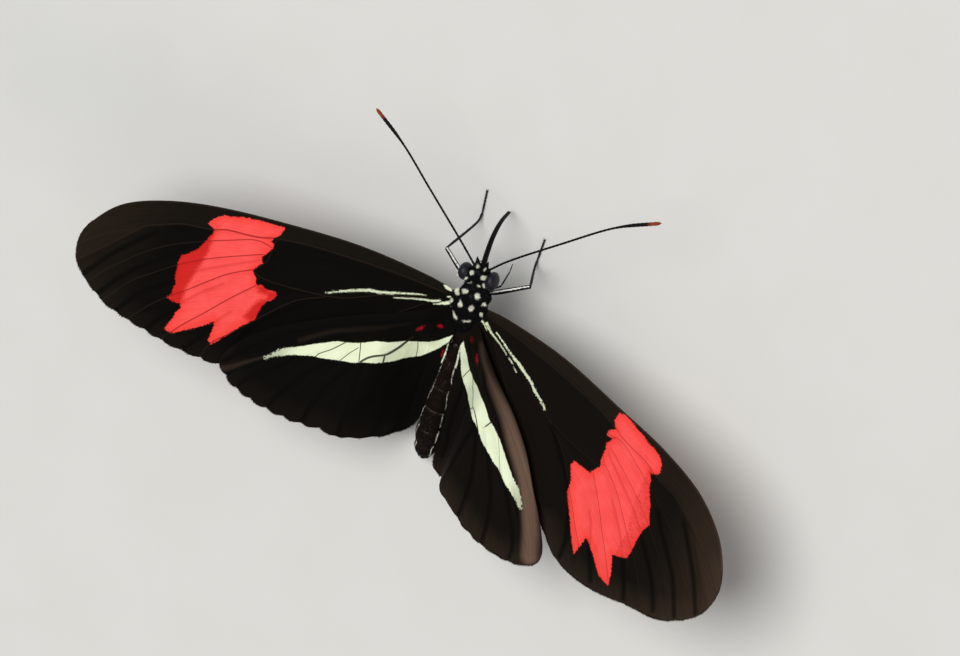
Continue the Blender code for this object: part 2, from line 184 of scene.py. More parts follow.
FLOOR_HALF = 3.0
floor_mesh = bpy.data.meshes.new("floor")
floor_data = bmesh.new()
bmesh.ops.create_grid(floor_data, x_segments=1, y_segments=1, size=FLOOR_HALF)
floor_data.to_mesh(floor_mesh)
floor_data.free()
floor = bpy.data.objects.new("floor", floor_mesh)
bpy.context.collection.objects.link(floor)
# Matt painted board: a pale grey with a faint mottle, so that shadows read softly
board, tree, shader = new_material("matt_painted_board", 0.85, 0.2)
mottle = object_pattern(tree, "TexNoise", 9.0, Detail=3.0)
fill(tree, shader, {"Base Color": painted(tree, "#D4D3CE", (mottle, "#DAD9D5"))})
floor_mesh.materials.append(board)

target = WING_HUB * MM
soft_light("overhead", (0.15, -0.35, 1.9), target, 1.3, 30.0, "#FFFFFF")
soft_light("side_fill", (-1.5, 0.5, 0.9), target, 0.8, 5.0, "#FFF6EA")
world = bpy.data.worlds.new("sky")
world.use_nodes = True
fill(world.node_tree, world.node_tree.nodes["Background"], {"Color": "#EEF1F4", "Strength": 0.32})
bpy.context.scene.world = world

# %% [markdown]
# Each wing is a thin membrane on a fan of stiff veins. Its outline is a smooth curve through a few
# measured points, the same ones as in the solids, in a flat plan with x out from the body and y
# towards the tail. The outline is cut at its two outer corners into a front edge, an outer margin
# and an inner edge, and a Coons patch stretches a grid between them. Its long lines then run from
# the root to the margin just as the veins and the rows of scales do.

# %% Wing plans
FORE_FRONT = [(0.6, -0.75), (4.6, -1.2), (11.7, -1.0)]
FORE_INNER = [(13.0, 11.4), (8.6, 7.6), (5.4, 4.6), (3.4, 2.95), (2.6, 2.2), (2.0, 1.3), (1.4, 1.0),
              (0.6, 0.75)]
FORE_EDGE = {
    "left": [
        *FORE_FRONT, (19.2, 0.2), (25.5, 1.6), (30.3, 3.3), (34.0, 5.5), (36.1, 8.4), (36.6, 10.8),
        (35.6, 13.1),
        (32.2, 15.25), (28.1, 15.95), (23.7, 16.25), (19.6, 15.9), (17.3, 14.6), *FORE_INNER,
    ],
    "right": [
        *FORE_FRONT, (19.2, 0.25), (25.0, 1.35), (30.0, 3.05), (33.6, 5.6), (35.6, 8.5), (36.1, 11.0),
        (35.0, 13.8),
        (31.8, 15.95), (28.0, 16.5), (23.4, 17.1), (19.4, 16.5), (16.8, 14.7), *FORE_INNER,
    ],
}
FORE_CORNERS = (7, 14)      # apex and hind corner
# The hindwings are folded down beside the abdomen, and each one a little differently
HIND_EDGE = {
    "left": [
        (0.5, 0.8), (2.4, 1.15), (5.8, 3.5), (9.2, 5.65), (12.2, 7.85), (15.0, 10.1), (17.5, 13.0),
        (18.6, 15.7),
        (17.5, 17.1), (15.2, 17.9), (12.4, 18.1), (9.7, 17.9), (7.2, 17.4), (5.2, 17.3), (3.2, 16.8),
        (1.8, 15.3), (1.0, 13.2), (0.8, 9.6), (0.4, 6.0), (0.2, 3.8), (0.3, 2.5),
    ],
    "right": [
        (0.5, 0.8), (2.4, 1.15), (5.8, 3.5), (9.3, 5.6), (12.3, 7.9), (14.9, 10.7), (17.2, 13.2),
        (18.8, 15.7),
        (18.0, 17.3), (15.6, 18.2), (12.6, 18.4), (9.9, 18.0), (7.4, 17.0), (5.4, 16.4), (3.2, 18.0),
        (1.9, 17.4), (1.75, 14.0), (1.3, 9.4), (0.95, 6.0), (0.7, 3.6), (0.5, 2.5),
    ],
}
HIND_CORNERS = (7, 14)
# Each vein: half width of its thin line over the red patch, then its way from root to margin
FORE_VEINS = {
    "radius": (0.07, [(2.6, -0.4), (7.5, -0.1), (15.1, 0.9), (18.9, 1.8), (21.0, 2.6), (23.7, 3.2),
                      (25.3, 3.9),
                      (27.9, 4.6), (29.9, 5.7), (31.2, 6.5), (32.8, 8.5), (34.2, 10.3), (35.9, 12.4)]),
    "radius_branch": (0.04, [(31.2, 6.5), (33.9, 8.5), (36.3, 10.8)]),
    "median_one": (0.045, [(19.1, 2.9), (20.9, 2.9), (23.3, 4.1), (25.3, 5.2), (27.9, 6.8), (29.7, 8.3),
                           (31.4, 10.1), (33.0, 12.1), (34.2, 14.1)]),
    "median_two": (0.045, [(19.8, 3.9), (24.0, 6.4), (26.8, 8.5), (29.1, 10.7), (30.5, 12.2), (32.1, 14.9)]),
    "median_three": (0.05, [(20.1, 5.7), (22.0, 7.1), (23.2, 8.3), (25.1, 10.4), (26.3, 11.6), (27.9, 13.5),
                            (29.3, 15.7)]),
    "cubitus": (0.05, [(2.6, 0.35), (7.7, 2.4), (11.4, 4.5), (15.5, 5.6), (18.9, 6.1), (20.1, 5.7)]),
    "cubitus_one": (0.05, [(19.3, 7.1), (21.1, 9.4), (22.7, 11.7), (24.3, 13.9), (25.7, 16.2)]),
    "cubitus_two": (0.05, [(12.7, 5.0), (15.4, 6.9), (18.0, 10.2), (19.8, 12.6), (21.1, 14.3), (21.5, 16.2)]),
    "cell_end": (0.04, [(19.1, 2.0), (19.2, 4.4), (19.9, 5.6)]),
    "anal": (0.05, [(4.0, 1.5), (8.4, 5.9), (12.6, 10.2), (17.3, 14.0)]),
}
# Soft folds in the membrane between the veins
FORE_FOLDS = [
    [(30.0, 6.4), (32.2, 9.2), (33.2, 10.6), (34.9, 13.5)],
    [(27.0, 6.8), (28.2, 8.3), (29.7, 9.9), (31.4, 12.0), (33.0, 14.9)],
    [(19.9, 4.6), (24.5, 7.9), (26.2, 9.5), (28.5, 12.0), (29.7, 13.6), (30.7, 15.5)],
    [(22.2, 8.3), (24.0, 10.3), (25.4, 12.2), (26.0, 13.3), (26.8, 14.7), (27.4, 16.1)],
    [(20.5, 10.5), (21.3, 11.8), (22.2, 14.0), (22.9, 15.2), (23.5, 16.4)],
    [(13.3, 5.3), (14.7, 6.7), (17.0, 9.1), (18.5, 11.6), (19.4, 14.3), (19.5, 16.0)],
]
HIND_VEINS = {
    "subcosta": (0.05, [(2.2, 2.2), (6.0, 4.5), (11.0, 7.8), (15.4, 11.6), (18.2, 15.9)]),
    "radial": (0.05, [(4.6, 4.5), (8.4, 7.0), (12.8, 11.2), (14.9, 13.7), (16.3, 14.9), (17.5, 17.1)]),
    "median_one": (0.05, [(8.2, 7.9), (11.4, 11.2), (14.7, 15.0), (15.7, 16.7), (15.9, 17.7)]),
    "median_two": (0.05, [(7.9, 9.0), (11.0, 13.3), (12.1, 15.9), (12.6, 18.1)]),
    "median_three": (0.05, [(7.2, 9.9), (8.5, 13.2), (9.0, 16.1), (9.1, 17.8)]),
    "cubitus": (0.05, [(1.9, 3.0), (3.4, 5.5), (4.6, 6.9), (5.8, 8.5), (7.2, 9.9)]),
    "cubitus_one": (0.05, [(6.5, 9.3), (6.0, 12.6), (5.7, 15.6), (5.5, 17.2)]),
    "cubitus_two": (0.05, [(3.8, 6.7), (3.8, 9.9), (3.8, 12.2), (3.6, 14.5), (3.6, 17.0)]),
    "anal": (0.05, [(2.2, 4.7), (2.3, 8.0), (2.3, 12.4), (2.6, 14.3), (2.6, 16.2)]),
}
HIND_FOLDS = [
    [(12.8, 12.6), (14.2, 14.8), (14.4, 17.9)], [(9.6, 12.4), (10.7, 15.4), (10.9, 18.0)],
    [(7.2, 12.0), (7.4, 15.2), (7.3, 17.4)], [(4.9, 9.0), (4.9, 12.8), (4.6, 17.2)],
]
NICK_DEPTH = 0.28
NICK_HALF = 0.95
APEX_END = 12.5         # the margin has no nicks in front of this, round the tip of the forewing


def smooth(t):
    t = np.clip(t, 0.0, 1.0)
    return t * t * (3.0 - 2.0 * t)


def curve(points, per_span=12):
    """A dense Catmull-Rom curve through the points, as rows of coordinates."""
    p = np.array(points, float)
    p = np.vstack([2 * p[0] - p[1], p, 2 * p[-1] - p[-2]])
    u = np.linspace(0.0, 1.0, per_span, endpoint=False)[:, None]
    spans = [
        0.5 * (2 * b + (c - a) * u + (2 * a - 5 * b + 4 * c - d) * u * u + (3 * b - a - 3 * c + d) * u ** 3)
        for a, b, c, d in zip(p, p[1:], p[2:], p[3:])
    ]
    return np.vstack([*spans, p[-2:-1]])


def at_share(line, share):
    """Points on a line at shares of its length."""
    steps = np.linalg.norm(np.diff(line, axis=0), axis=1)
    run = np.concatenate([[0.0], np.cumsum(steps)])
    return np.stack([np.interp(share * run[-1], run, line[:, k]) for k in range(line.shape[1])], -1)


def wing_plan(edge, corners, veins, folds):
    """The four sides of a wing. The margin runs in a little where a vein or a fold meets it."""
    outline = curve(edge)
    for line in [*(line for _, line in veins.values()), *folds]:
        tip = np.array(line[-1])
        inward = np.array(line[-2]) - tip
        share = np.clip(1.0 - np.linalg.norm(outline - tip, axis=1) / NICK_HALF, 0.0, 1.0) ** 2
        depth = NICK_DEPTH * smooth((tip[1] - APEX_END) / 3.0)
        outline += share[:, None] * inward / np.linalg.norm(inward) * depth
    first, second = (12 * c for c in corners)
    sides = outline[:first + 1], outline[first:second + 1], outline[second:][::-1]
    return {"front": sides[0], "margin": sides[1], "inner": sides[2], "outline": outline}


def coons(plan, u, v):
    """The flat place of grid shares: u from root to margin, v from front to inner edge."""
    front, inner, margin = at_share(plan["front"], u), at_share(plan["inner"], u), at_share(plan["margin"], v)
    a, b = plan["front"][0], plan["inner"][0]
    c, d = plan["front"][-1], plan["inner"][-1]
    u, v = u[:, None], v[:, None]
    root = a + (b - a) * v
    corners = (1 - u) * ((1 - v) * a + v * b) + u * ((1 - v) * c + v * d)
    return (1 - v) * front + v * inner + (1 - u) * root + u * margin - corners


fore_plan = {side: wing_plan(edge, FORE_CORNERS, FORE_VEINS, FORE_FOLDS) for side, edge in FORE_EDGE.items()}
hind_plan = {side: wing_plan(edge, HIND_CORNERS, HIND_VEINS, HIND_FOLDS) for side, edge in HIND_EDGE.items()}
for plans in (fore_plan, hind_plan):
    print("outline points:", len(plans["left"]["outline"]), "left,", len(plans["right"]["outline"]), "right")

# %% [markdown]
# The markings are drawn in the same flat plan. Each one is stored on the mesh as a distance in
# millimetres: below zero inside the marking, above zero outside. A distance stays sharp between
# mesh points where a painted colour would blur, and the material can roughen its edge scale by
# scale. The two forewings of a real butterfly differ a little, so each side has its own shapes.

# %% Markings on the plans
RED_PATCH = {
    "left": [
        (18.9, 0.6), (19.0, 1.4), (19.4, 1.9), (19.6, 2.4), (19.2, 2.6), (19.1, 2.9), (19.4, 3.4),
        (19.6, 3.9),
        (19.8, 4.3), (19.5, 4.7), (19.7, 5.0), (20.0, 5.6), (20.1, 5.8), (19.6, 6.3), (19.3, 7.0),
        (18.8, 6.8),
        (18.2, 7.0), (17.3, 6.8), (17.1, 7.1), (17.4, 7.7), (17.8, 8.1), (18.0, 8.7), (18.1, 9.5),
        (18.1, 10.2),
        (18.9, 11.2), (19.8, 12.5), (20.4, 13.5), (21.0, 14.3), (21.4, 14.1), (21.4, 13.5), (21.4, 12.8),
        (21.6, 12.1), (22.2, 12.8), (23.1, 13.6), (24.1, 14.4), (24.9, 15.0), (25.7, 15.0), (25.5, 14.2),
        (25.3, 13.6), (25.3, 13.0), (25.0, 12.4), (25.2, 12.0), (25.8, 12.1), (26.6, 12.0), (26.3, 11.5),
        (26.4, 11.0), (26.4, 10.3), (26.7, 9.6), (26.8, 8.9), (26.9, 8.4), (26.9, 7.6), (26.3, 7.0),
        (25.7, 6.3),
        (25.3, 5.3), (25.1, 4.6), (24.9, 4.2), (25.0, 3.7), (25.7, 3.5), (25.6, 3.1), (25.2, 2.6),
        (24.7, 2.1),
        (24.0, 1.9), (23.3, 1.6), (22.4, 1.3), (21.2, 1.0), (20.1, 0.8),
    ],
    "right": [
        (19.2, 0.6), (19.1, 1.5), (19.6, 2.1), (19.0, 2.6), (18.9, 3.1), (19.3, 3.1), (19.9, 2.9),
        (19.6, 3.3),
        (19.3, 3.8), (19.4, 4.3), (19.5, 4.8), (19.4, 5.4), (19.7, 6.1), (19.2, 6.7), (18.9, 7.3),
        (18.2, 7.2),
        (17.5, 7.2), (16.9, 7.1), (16.7, 7.6), (17.2, 8.5), (17.5, 9.2), (17.6, 10.1), (18.0, 10.8),
        (18.6, 11.7),
        (19.5, 13.1), (20.3, 14.4), (20.8, 15.0), (21.0, 14.2), (21.2, 13.0), (21.5, 13.0), (22.4, 13.8),
        (23.1, 14.5), (24.0, 15.4), (24.9, 15.7), (25.4, 15.8), (25.1, 14.5), (24.5, 13.0), (25.1, 12.8),
        (26.0, 12.5), (26.2, 11.6), (26.2, 10.3), (26.4, 9.2), (26.8, 8.4), (26.4, 7.7), (26.0, 6.7),
        (25.4, 5.6),
        (25.0, 4.5), (24.6, 3.9), (25.0, 3.9), (25.4, 3.7), (25.6, 3.4), (25.4, 2.7), (25.0, 2.2),
        (24.1, 1.7),
        (23.4, 1.6), (22.2, 1.2), (21.1, 0.8), (19.9, 0.5),
    ],
}
# The scales lie deeper red in these zones of the patch: its outer edge and its inner lobe
DEEP_RED = {
    "left": [
        [(24.9, 3.9), (24.7, 6.3), (24.9, 7.6), (25.3, 9.9), (25.2, 12.1), (26.4, 12.6), (27.0, 10.1),
         (27.6, 8.1),
         (26.3, 5.4)],
        [(19.2, 10.4), (18.9, 9.4), (18.5, 8.4), (17.7, 7.9), (17.8, 9.8), (18.4, 10.6)],
        [(19.1, 7.0), (18.5, 6.7), (17.9, 7.1), (17.2, 6.7), (16.9, 7.3), (17.7, 7.9), (18.0, 7.4),
         (18.8, 7.6)],
    ],
    "right": [
        [(24.6, 3.6), (25.8, 5.0), (27.3, 8.2), (26.7, 9.6), (26.4, 12.1), (25.0, 13.6), (24.9, 11.8),
         (25.2, 10.2),
         (24.8, 8.8), (24.6, 7.2), (24.5, 5.1)],
    ],
}
# Cream streaks along the forewing veins: half width at the start, the middle and the end
CREAM_STREAKS = {
    "left": [
        ((0.03, 0.13, 0.04), [(4.12, 0.65), (5.07, 0.99), (6.34, 1.51), (8.1, 2.29), (9.49, 2.78),
                              (11.13, 3.63),
                              (12.08, 4.23), (12.9, 4.7)]),
        ((0.12, 0.08, 0.02), [(2.78, 0.53), (3.33, 0.88), (4.04, 1.09), (4.9, 1.4), (5.82, 1.79),
                              (6.91, 2.28)]),
        ((0.17, 0.14, 0.02), [(1.4, 0.15), (1.96, 0.4), (2.58, 0.78), (3.22, 1.17)]),
        ((0.1, 0.2, 0.12), [(2.2, -0.86), (2.5, -0.92), (2.85, -0.98)]),
        ((0.03, 0.07, 0.03), [(1.9, -0.3), (2.1, -0.2), (2.3, -0.08)]),
    ],
    "right": [
        ((0.04, 0.13, 0.08), [(3.83, 0.51), (4.66, 0.85), (5.81, 1.35), (6.69, 1.69), (7.54, 1.98),
                              (8.48, 2.44),
                              (9.29, 2.82), (10.19, 3.38), (11.03, 3.83), (11.86, 4.35)]),
        ((0.14, 0.10, 0.04), [(2.47, 0.29), (3.04, 0.62), (3.52, 0.84), (4.48, 1.18), (5.16, 1.48),
                              (5.75, 1.76)]),
        ((0.02, 0.05, 0.01), [(6.1, 1.95), (6.5, 2.1), (6.8, 2.25)]),
        ((0.02, 0.05, 0.01), [(7.0, 2.45), (7.24, 2.6), (7.5, 2.75)]),
        ((0.12, 0.08, 0.01), [(1.5, 0.15), (1.81, 0.28), (2.22, 0.45), (2.77, 0.88)]),
    ],
}
# Pale yellow hindwing bar: the edge towards the front, then the edge towards the tail
PALE_BAR = {
    "left": (
        [(0.3, 3.1), (0.5, 3.3), (1.3, 4.2), (2.2, 5.0), (3.1, 5.5), (4.1, 5.9), (5.0, 6.4), (6.2, 6.9),
         (7.3, 7.7),
         (8.5, 8.3), (9.4, 8.7), (10.8, 9.7), (12.2, 10.8), (13.0, 11.4), (13.8, 12.0), (14.5, 13.0),
         (15.0, 13.6)],
        [(14.9, 13.7), (14.3, 13.2), (13.5, 12.6), (12.6, 12.0), (11.8, 11.6), (10.8, 11.1), (10.2, 11.0),
         (8.5, 10.3), (7.3, 9.9), (6.5, 9.4), (5.4, 8.9), (4.4, 8.3), (3.6, 7.6), (2.7, 7.0), (2.1, 6.3),
         (1.3, 5.3),
         (0.4, 3.9)],
    ),
    "right": (
        [(1.0, 3.1), (1.9, 4.1), (2.4, 5.5), (2.8, 5.8), (3.4, 6.1), (4.7, 6.1), (6.1, 6.5), (7.5, 7.6),
         (8.3, 7.9),
         (9.1, 8.4), (10.0, 9.0), (11.5, 10.2), (12.8, 11.1), (13.6, 11.6), (14.2, 12.2), (14.8, 13.0)],
        [(14.6, 13.1), (13.8, 12.6), (13.0, 12.3), (11.9, 11.8), (10.8, 11.1), (10.0, 10.9), (8.9, 10.3),
         (7.8, 9.8),
         (6.8, 9.0), (5.3, 8.3), (4.0, 8.2), (2.8, 7.7), (1.8, 6.6), (1.3, 5.1), (0.9, 3.7)],
    ),
}
# Pale hairs on the hindwing's inner edge, beside the waist: half widths, then way
PALE_EDGE = {
    "left": ((0.03, 0.07, 0.05), [(0.36, 4.1), (0.41, 5.2), (0.46, 5.8), (0.52, 6.5)]),
    "right": ((0.03, 0.09, 0.05), [(0.95, 3.9), (0.96, 4.6), (0.98, 5.3), (1.03, 6.3)]),
}
# Crimson base dots on the hindwing: centre, half length, half width, heading in degrees, and how
# deep the distance may go. A dot that never gets below zero is a sprinkle of crimson scales.
BASE_DOTS = {
    "left": [((3.18, 3.8), 0.38, 0.12, 58.0), ((1.7, 2.8), 0.17, 0.13, 0.0),
             ((0.75, 5.4), 0.25, 0.05, 90.0)],
    "right": [((3.4, 3.5), 0.42, 0.14, 76.0), ((1.95, 2.35), 0.30, 0.2, 0.0, 0.07)],
}
# Dark lines over the bar, where a vein, a branch or a fold crosses it: half width, then way
BAR_LINES = {
    "left": [
        (0.10, [(3.7, 5.2), (3.9, 5.6), (4.3, 6.6), (4.7, 7.4), (5.0, 7.8), (5.6, 8.2), (6.2, 8.8),
                (6.7, 9.6)]),
        (0.045, [(8.6, 8.3), (9.5, 9.6), (10.4, 10.6), (10.6, 11.1)]), (0.035, [(7.4, 8.3), (7.9, 9.2),
                                                                                (8.4, 10.3)]),
        (0.045, [(7.4, 7.7), (7.1, 8.5), (6.7, 9.5)]), (0.03, [(3.3, 5.4), (3.1, 6.3), (3.0, 7.3)]),
        (0.06, [(5.0, 7.8), (4.9, 8.6)]),
    ],
    "right": [
        (0.06, [(2.7, 5.3), (2.9, 5.6), (3.9, 6.8), (5.2, 7.7), (5.9, 8.0), (7.0, 9.2)]),
        (0.045, [(2.0, 6.8), (2.5, 5.6)]), (0.07, [(7.5, 8.4), (7.9, 7.6)]), (0.035, [(4.8, 8.4),
                                                                                      (5.3, 7.8)]),
        (0.02, [(9.1, 8.4), (10.0, 9.6), (10.9, 11.1)]),
    ],
}
# Browner streaks of the hindwing, where scales are thin, with a painted sheen over them that is far stronger
# on the right wing's costal zone: share of brown, half widths, softness, way
BROWN_AND_SHEEN_STREAKS = {
    "left": [
        (0.06, (0.1, 0.2, 0.2), 0.4, [(4.0, 3.6), (5.1, 4.5), (6.2, 5.4), (8.5, 6.9), (10.4, 8.2),
                                      (12.6, 10.4)]),
        (0.14, (0.05, 0.2, 0.3), 0.35, [(14.4, 13.1), (16.1, 14.7), (17.2, 15.9), (18.0, 16.6)]),
    ],
    "right": [
        (0.8, (0.1, 0.75, 0.85), 0.9, [(3.2, 1.95), (4.5, 3.4), (6.0, 4.45), (7.5, 5.35), (9.15, 6.4),
                                       (10.7, 7.7),
                                      (12.35, 9.1), (13.8, 10.4), (15.1, 12.0), (16.5, 14.0), (17.7, 16.4)]),
    ],
}
# How far the black is browned, by brown scales and by painted sheen, which is why the right wing gets more:
# at the apex, over the outer wing and in front of the first vein
BROWN_AND_SHEEN_SHARES = {"left": (0.04, 0.028, 0.03), "right": (0.09, 0.1, 0.045)}
# The right wing faces the light more, so its deep zones are fainter
DEEPEST = {"left": -1.5, "right": 0.1}
CRIMSON = -3.0          # this deep inside a deep zone means crimson, for the base dots


def distance_to_line(points, line):
    """Distance from each flat point to a line."""
    best = np.full(len(points), 1e9)
    for a, b in zip(line, line[1:]):
        span = b - a
        share = np.clip((points - a) @ span / max(span @ span, 1e-12), 0.0, 1.0)
        gap = points - a - share[:, None] * span
        best = np.minimum(best, np.einsum("ij,ij->i", gap, gap))
    return np.sqrt(best)


def inside_shape(points, shape):
    """True for each flat point inside a closed shape."""
    crossings = np.zeros(len(points), int)
    for a, b in zip(shape, np.roll(shape, -1, axis=0)):
        straddles = (a[1] > points[:, 1]) != (b[1] > points[:, 1])
        reach = a[0] + (b[0] - a[0]) * (points[:, 1] - a[1]) / (b[1] - a[1] + 1e-12)
        crossings += straddles & (points[:, 0] < reach)
    return crossings % 2 == 1


def shape_distance(points, shape):
    """Distance to a closed shape's edge, below zero inside it."""
    shape = np.array(shape, float)
    away = distance_to_line(points, np.vstack([shape, shape[:1]]))
    return np.where(inside_shape(points, shape), -away, away)


def streak_distance(points, half_widths, way):
    """Distance to a streak that swells and thins along its way, below zero inside it."""
    line = curve(way)
    start, middle, end = half_widths
    best = np.full(len(points), 9.0)
    count = len(line) - 1
    for i, (a, b) in enumerate(zip(line, line[1:])):
        half = np.interp(i / count, (0.0, 0.5, 1.0), (start, middle, end))
        best = np.minimum(best, distance_to_line(points, np.array([a, b])) - half)
    return best


def dot_distance(points, centre, half_length, half_width, heading, deepest=-9.0):
    turn = math.radians(heading)
    along = np.array([math.cos(turn), math.sin(turn)])
    across = np.array([-along[1], along[0]])
    gap = points - np.array(centre)
    size = np.hypot(gap @ along / half_length, gap @ across / half_width)
    return np.maximum((size - 1.0) * half_width, deepest)


# A streak's share of brown, which also carries painted sheen
def brown_and_sheen_streak(points, share, halves, soft, line):
    return share * smooth(0.5 - streak_distance(points, halves, line) / soft)


def browning(points, plan, vein):
    """The brown of the margin, where the scales are thinner. It is kept off the veins and folds, which stay
    dark there as painted shade in their creases.
    """
    edge = np.maximum(1.0 - distance_to_line(points, plan["margin"]) / 2.4, 0.0)
    return (0.25 + edge) * clear_of_crease_shade(vein)


# Near zero on a vein or fold, so that these creases keep a painted shade of plain black
def clear_of_crease_shade(vein):
    return 0.2 + 0.8 * smooth(vein / 0.45)


def fore_marks(points, side, crease):
    plan = fore_plan[side]
    deep = [shape_distance(points, shape) for shape in DEEP_RED[side]]
    cream = [streak_distance(points, halves, line) for halves, line in CREAM_STREAKS[side]]
    # A painted highlight along the forewing's front edge: the thin rim there gets some brown, as if lit
    rim = smooth(1.0 - distance_to_line(points, plan["front"]) / 0.16)
    before = smooth(0.5 - signed_distance(points, curve(FORE_VEINS["radius"][1], 6)) / 0.7)
    at_apex, outer, strip = BROWN_AND_SHEEN_SHARES[side]
    tip = smooth((points[:, 0] - 27.5) / 7.0) * clear_of_crease_shade(crease)
    return {
        "red": shape_distance(points, RED_PATCH[side]),
        "deep": np.maximum(np.min(deep, axis=0), DEEPEST[side]),
        "cream": np.min(cream, axis=0),
        "ragged": 0.1 + 0.25 * smooth((points[:, 0] - 4.0) / 7.0),
        "brown": outer * browning(points, plan, crease) + at_apex * tip + strip * before + 0.12 * rim,
    }


def hind_marks(points, side, vein):
    front, back = (curve(part, 4) for part in PALE_BAR[side])
    dots = [dot_distance(points, *dot) for dot in BASE_DOTS[side]]
    hairs = streak_distance(points, *PALE_EDGE[side])
    # The brown and its painted sheen grow outwards along the costal zone
    growth = 0.3 + 0.7 * smooth((points[:, 0] - 3.0) / 9.0)
    growth *= 1.0 - 0.1 * smooth((points[:, 0] - 14.5) / 3.5)
    streaks = sum(brown_and_sheen_streak(points, *streak) for streak in BROWN_AND_SHEEN_STREAKS[side])
    return {
        "red": np.min(dots, axis=0),
        "deep": np.full(len(points), CRIMSON),
        "cream": np.minimum(shape_distance(points, np.vstack([front, back])), hairs),
        "ragged": 0.7 * smooth((points[:, 0] - 12.0) / 2.5),
        "brown": BROWN_AND_SHEEN_SHARES[side][1] * browning(points, hind_plan[side], vein) + growth * streaks,
    }


def fold_distance(points, folds):
    return np.min([distance_to_line(points, curve(fold, 6)) for fold in folds], axis=0)


def signed_distance(points, line):
    """Distance from each flat point to a line, below zero on its right-hand side."""
    best = np.full(len(points), 1e9)
    sign = np.ones(len(points))
    for a, b in zip(line, line[1:]):
        span = b - a
        share = np.clip((points - a) @ span / max(span @ span, 1e-12), 0.0, 1.0)
        gap = points - a - share[:, None] * span
        away = np.einsum("ij,ij->i", gap, gap)
        nearer = away < best
        best = np.where(nearer, away, best)
        sign = np.where(nearer, np.sign(span[0] * gap[:, 1] - span[1] * gap[:, 0]), sign)
    return np.sqrt(best) * sign


def thin_lines(corner_points, lines):
    """For the corners of each face: the signed distance to one line, in half widths of that line.

    All corners of a face measure to the same line, so the distance crosses zero exactly on it and
    a line much thinner than a face still comes out sharp and unbroken.
    """
    count = len(corner_points) // 4
    centre = corner_points.reshape(count, 4, 2).mean(1)
    reach = np.full(count, 0.6)
    found = np.full(len(corner_points), 9.0)
    for half, way in lines:
        line = curve(way, 6)
        away = distance_to_line(centre, line)
        chosen = np.flatnonzero(away < reach)
        reach[chosen] = away[chosen]
        corners = (chosen[:, None] * 4 + np.arange(4)).ravel()
        found[corners] = signed_distance(corner_points[corners], line) / half
    return found


print("patch, left side:", len(RED_PATCH["left"]), "corners")

# %% [markdown]
# The wings rise outwards and droop a little at the tips. The hindwing rides on top of the forewing
# here, and folds down into a trough along the abdomen. A grid from bmesh takes that shape, the
# Solidify modifier makes it a membrane, and then the veins are raised on both faces and the
# membrane between them is puckered, as the real one is between its stiff rods. The real membrane
# is thinner than the 0.16 mm used here, which still looks thin and never tears in a render.

# %% Wing shapes
DIHEDRAL = 0.232        # rise of the wings for each millimetre outwards
DROOP = 0.0010
HIND_LIFT = 1.1
TROUGH_EDGE = 6.0
TROUGH_HEIGHT = 0.3
TROUGH_SLOPE = 0.42
TROUGH_START = 2.5
FORE_PIVOT = (1.9, 0.0)
HIND_PIVOT = (1.9, 2.2)
MEMBRANE = 0.16
LINE_SHARE = {"left": 1.15, "right": 0.5}     # the right wing's lines are the fainter ones
VEIN_RISE = 0.055
VEIN_HALF = 0.13
PUCKER = 0.10
FOLD_DEPTH = 0.06
FLANK_GAP = 0.03        # between a hindwing's inner edge and the abdomen
ROWS = 220              # grid steps from root to margin
RAYS = 190              # grid steps from front to inner edge
ABDOMEN = [
    (2.3, -1.05, 0.95), (4.2, -1.45, 0.68), (6.5, -2.05, 0.78), (9.3, -2.95, 0.98), (11.8, -3.90, 1.20),
    (14.3, -4.95, 1.36), (16.0, -5.70, 1.15), (17.1, -6.18, 0.70), (17.5, -6.36, 0.28),
]


def abdomen_at(y):
    """Height of the abdomen's middle and its half width at distances back."""
    table = np.array(ABDOMEN)
    y = np.clip(y, table[0, 0], table[-1, 0])
    low = np.clip(np.searchsorted(table[:, 0], y) - 1, 0, len(table) - 2)
    share = smooth((y - table[low, 0]) / (table[low + 1, 0] - table[low, 0]))
    return [table[low, k] + (table[low + 1, k] - table[low, k]) * share for k in (1, 2)]


def wing_height(x, y, hind):
    x = np.maximum(x, 0.0)
    rise = DIHEDRAL * x - DROOP * x * x
    if not hind:
        return rise
    rise = rise + HIND_LIFT * smooth((x - 1.0) / 2.5)
    beside = TROUGH_HEIGHT - TROUGH_SLOPE * np.maximum(0.0, y - TROUGH_START)
    share = smooth((TROUGH_EDGE - x) / 4.0) * smooth((y - TROUGH_START) / 3.2)
    return rise * (1.0 - share) + beside * share


def settle(points, pivot, degrees, hind):
    """Swings flat points about the wing's pivot and keeps a hindwing clear of the abdomen."""
    turn = math.radians(degrees)
    x, y = (points - np.array(pivot)).T
    outwards = x * math.cos(turn) - y * math.sin(turn)
    backwards = x * math.sin(turn) + y * math.cos(turn)
    moved = np.stack([outwards, backwards], 1) + pivot
    if hind:
        middle, half = abdomen_at(moved[:, 1])
        above = wing_height(np.zeros(len(moved)), moved[:, 1], True) - middle
        flank = np.sqrt(np.maximum(half ** 2 - above ** 2, 0.0)) + FLANK_GAP
        moved[:, 0] = np.maximum(moved[:, 0], np.where(moved[:, 1] > 3.2, flank, 0.0))
    return moved


def mesh_array(mesh, name, values):
    """Stores one number for each vertex under a name."""
    layer = mesh.attributes.new(name, "FLOAT", "POINT")
    layer.data.foreach_set("value", np.asarray(values, np.float32))


def positions(mesh):
    flat = np.empty(len(mesh.vertices) * 3, np.float32)
    mesh.vertices.foreach_get("co", flat)
    return flat.reshape(-1, 3).astype(float)


def read_array(mesh, name):
    values = np.empty(len(mesh.vertices), np.float32)
    mesh.attributes[name].data.foreach_get("value", values)
    return values.astype(float)


def adopt(made, slot, *nodes):
    """The piece rides on the body and stands for its solids, which it hides."""
    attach(made, "root")
    if nodes:
        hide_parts(*nodes)
    return made


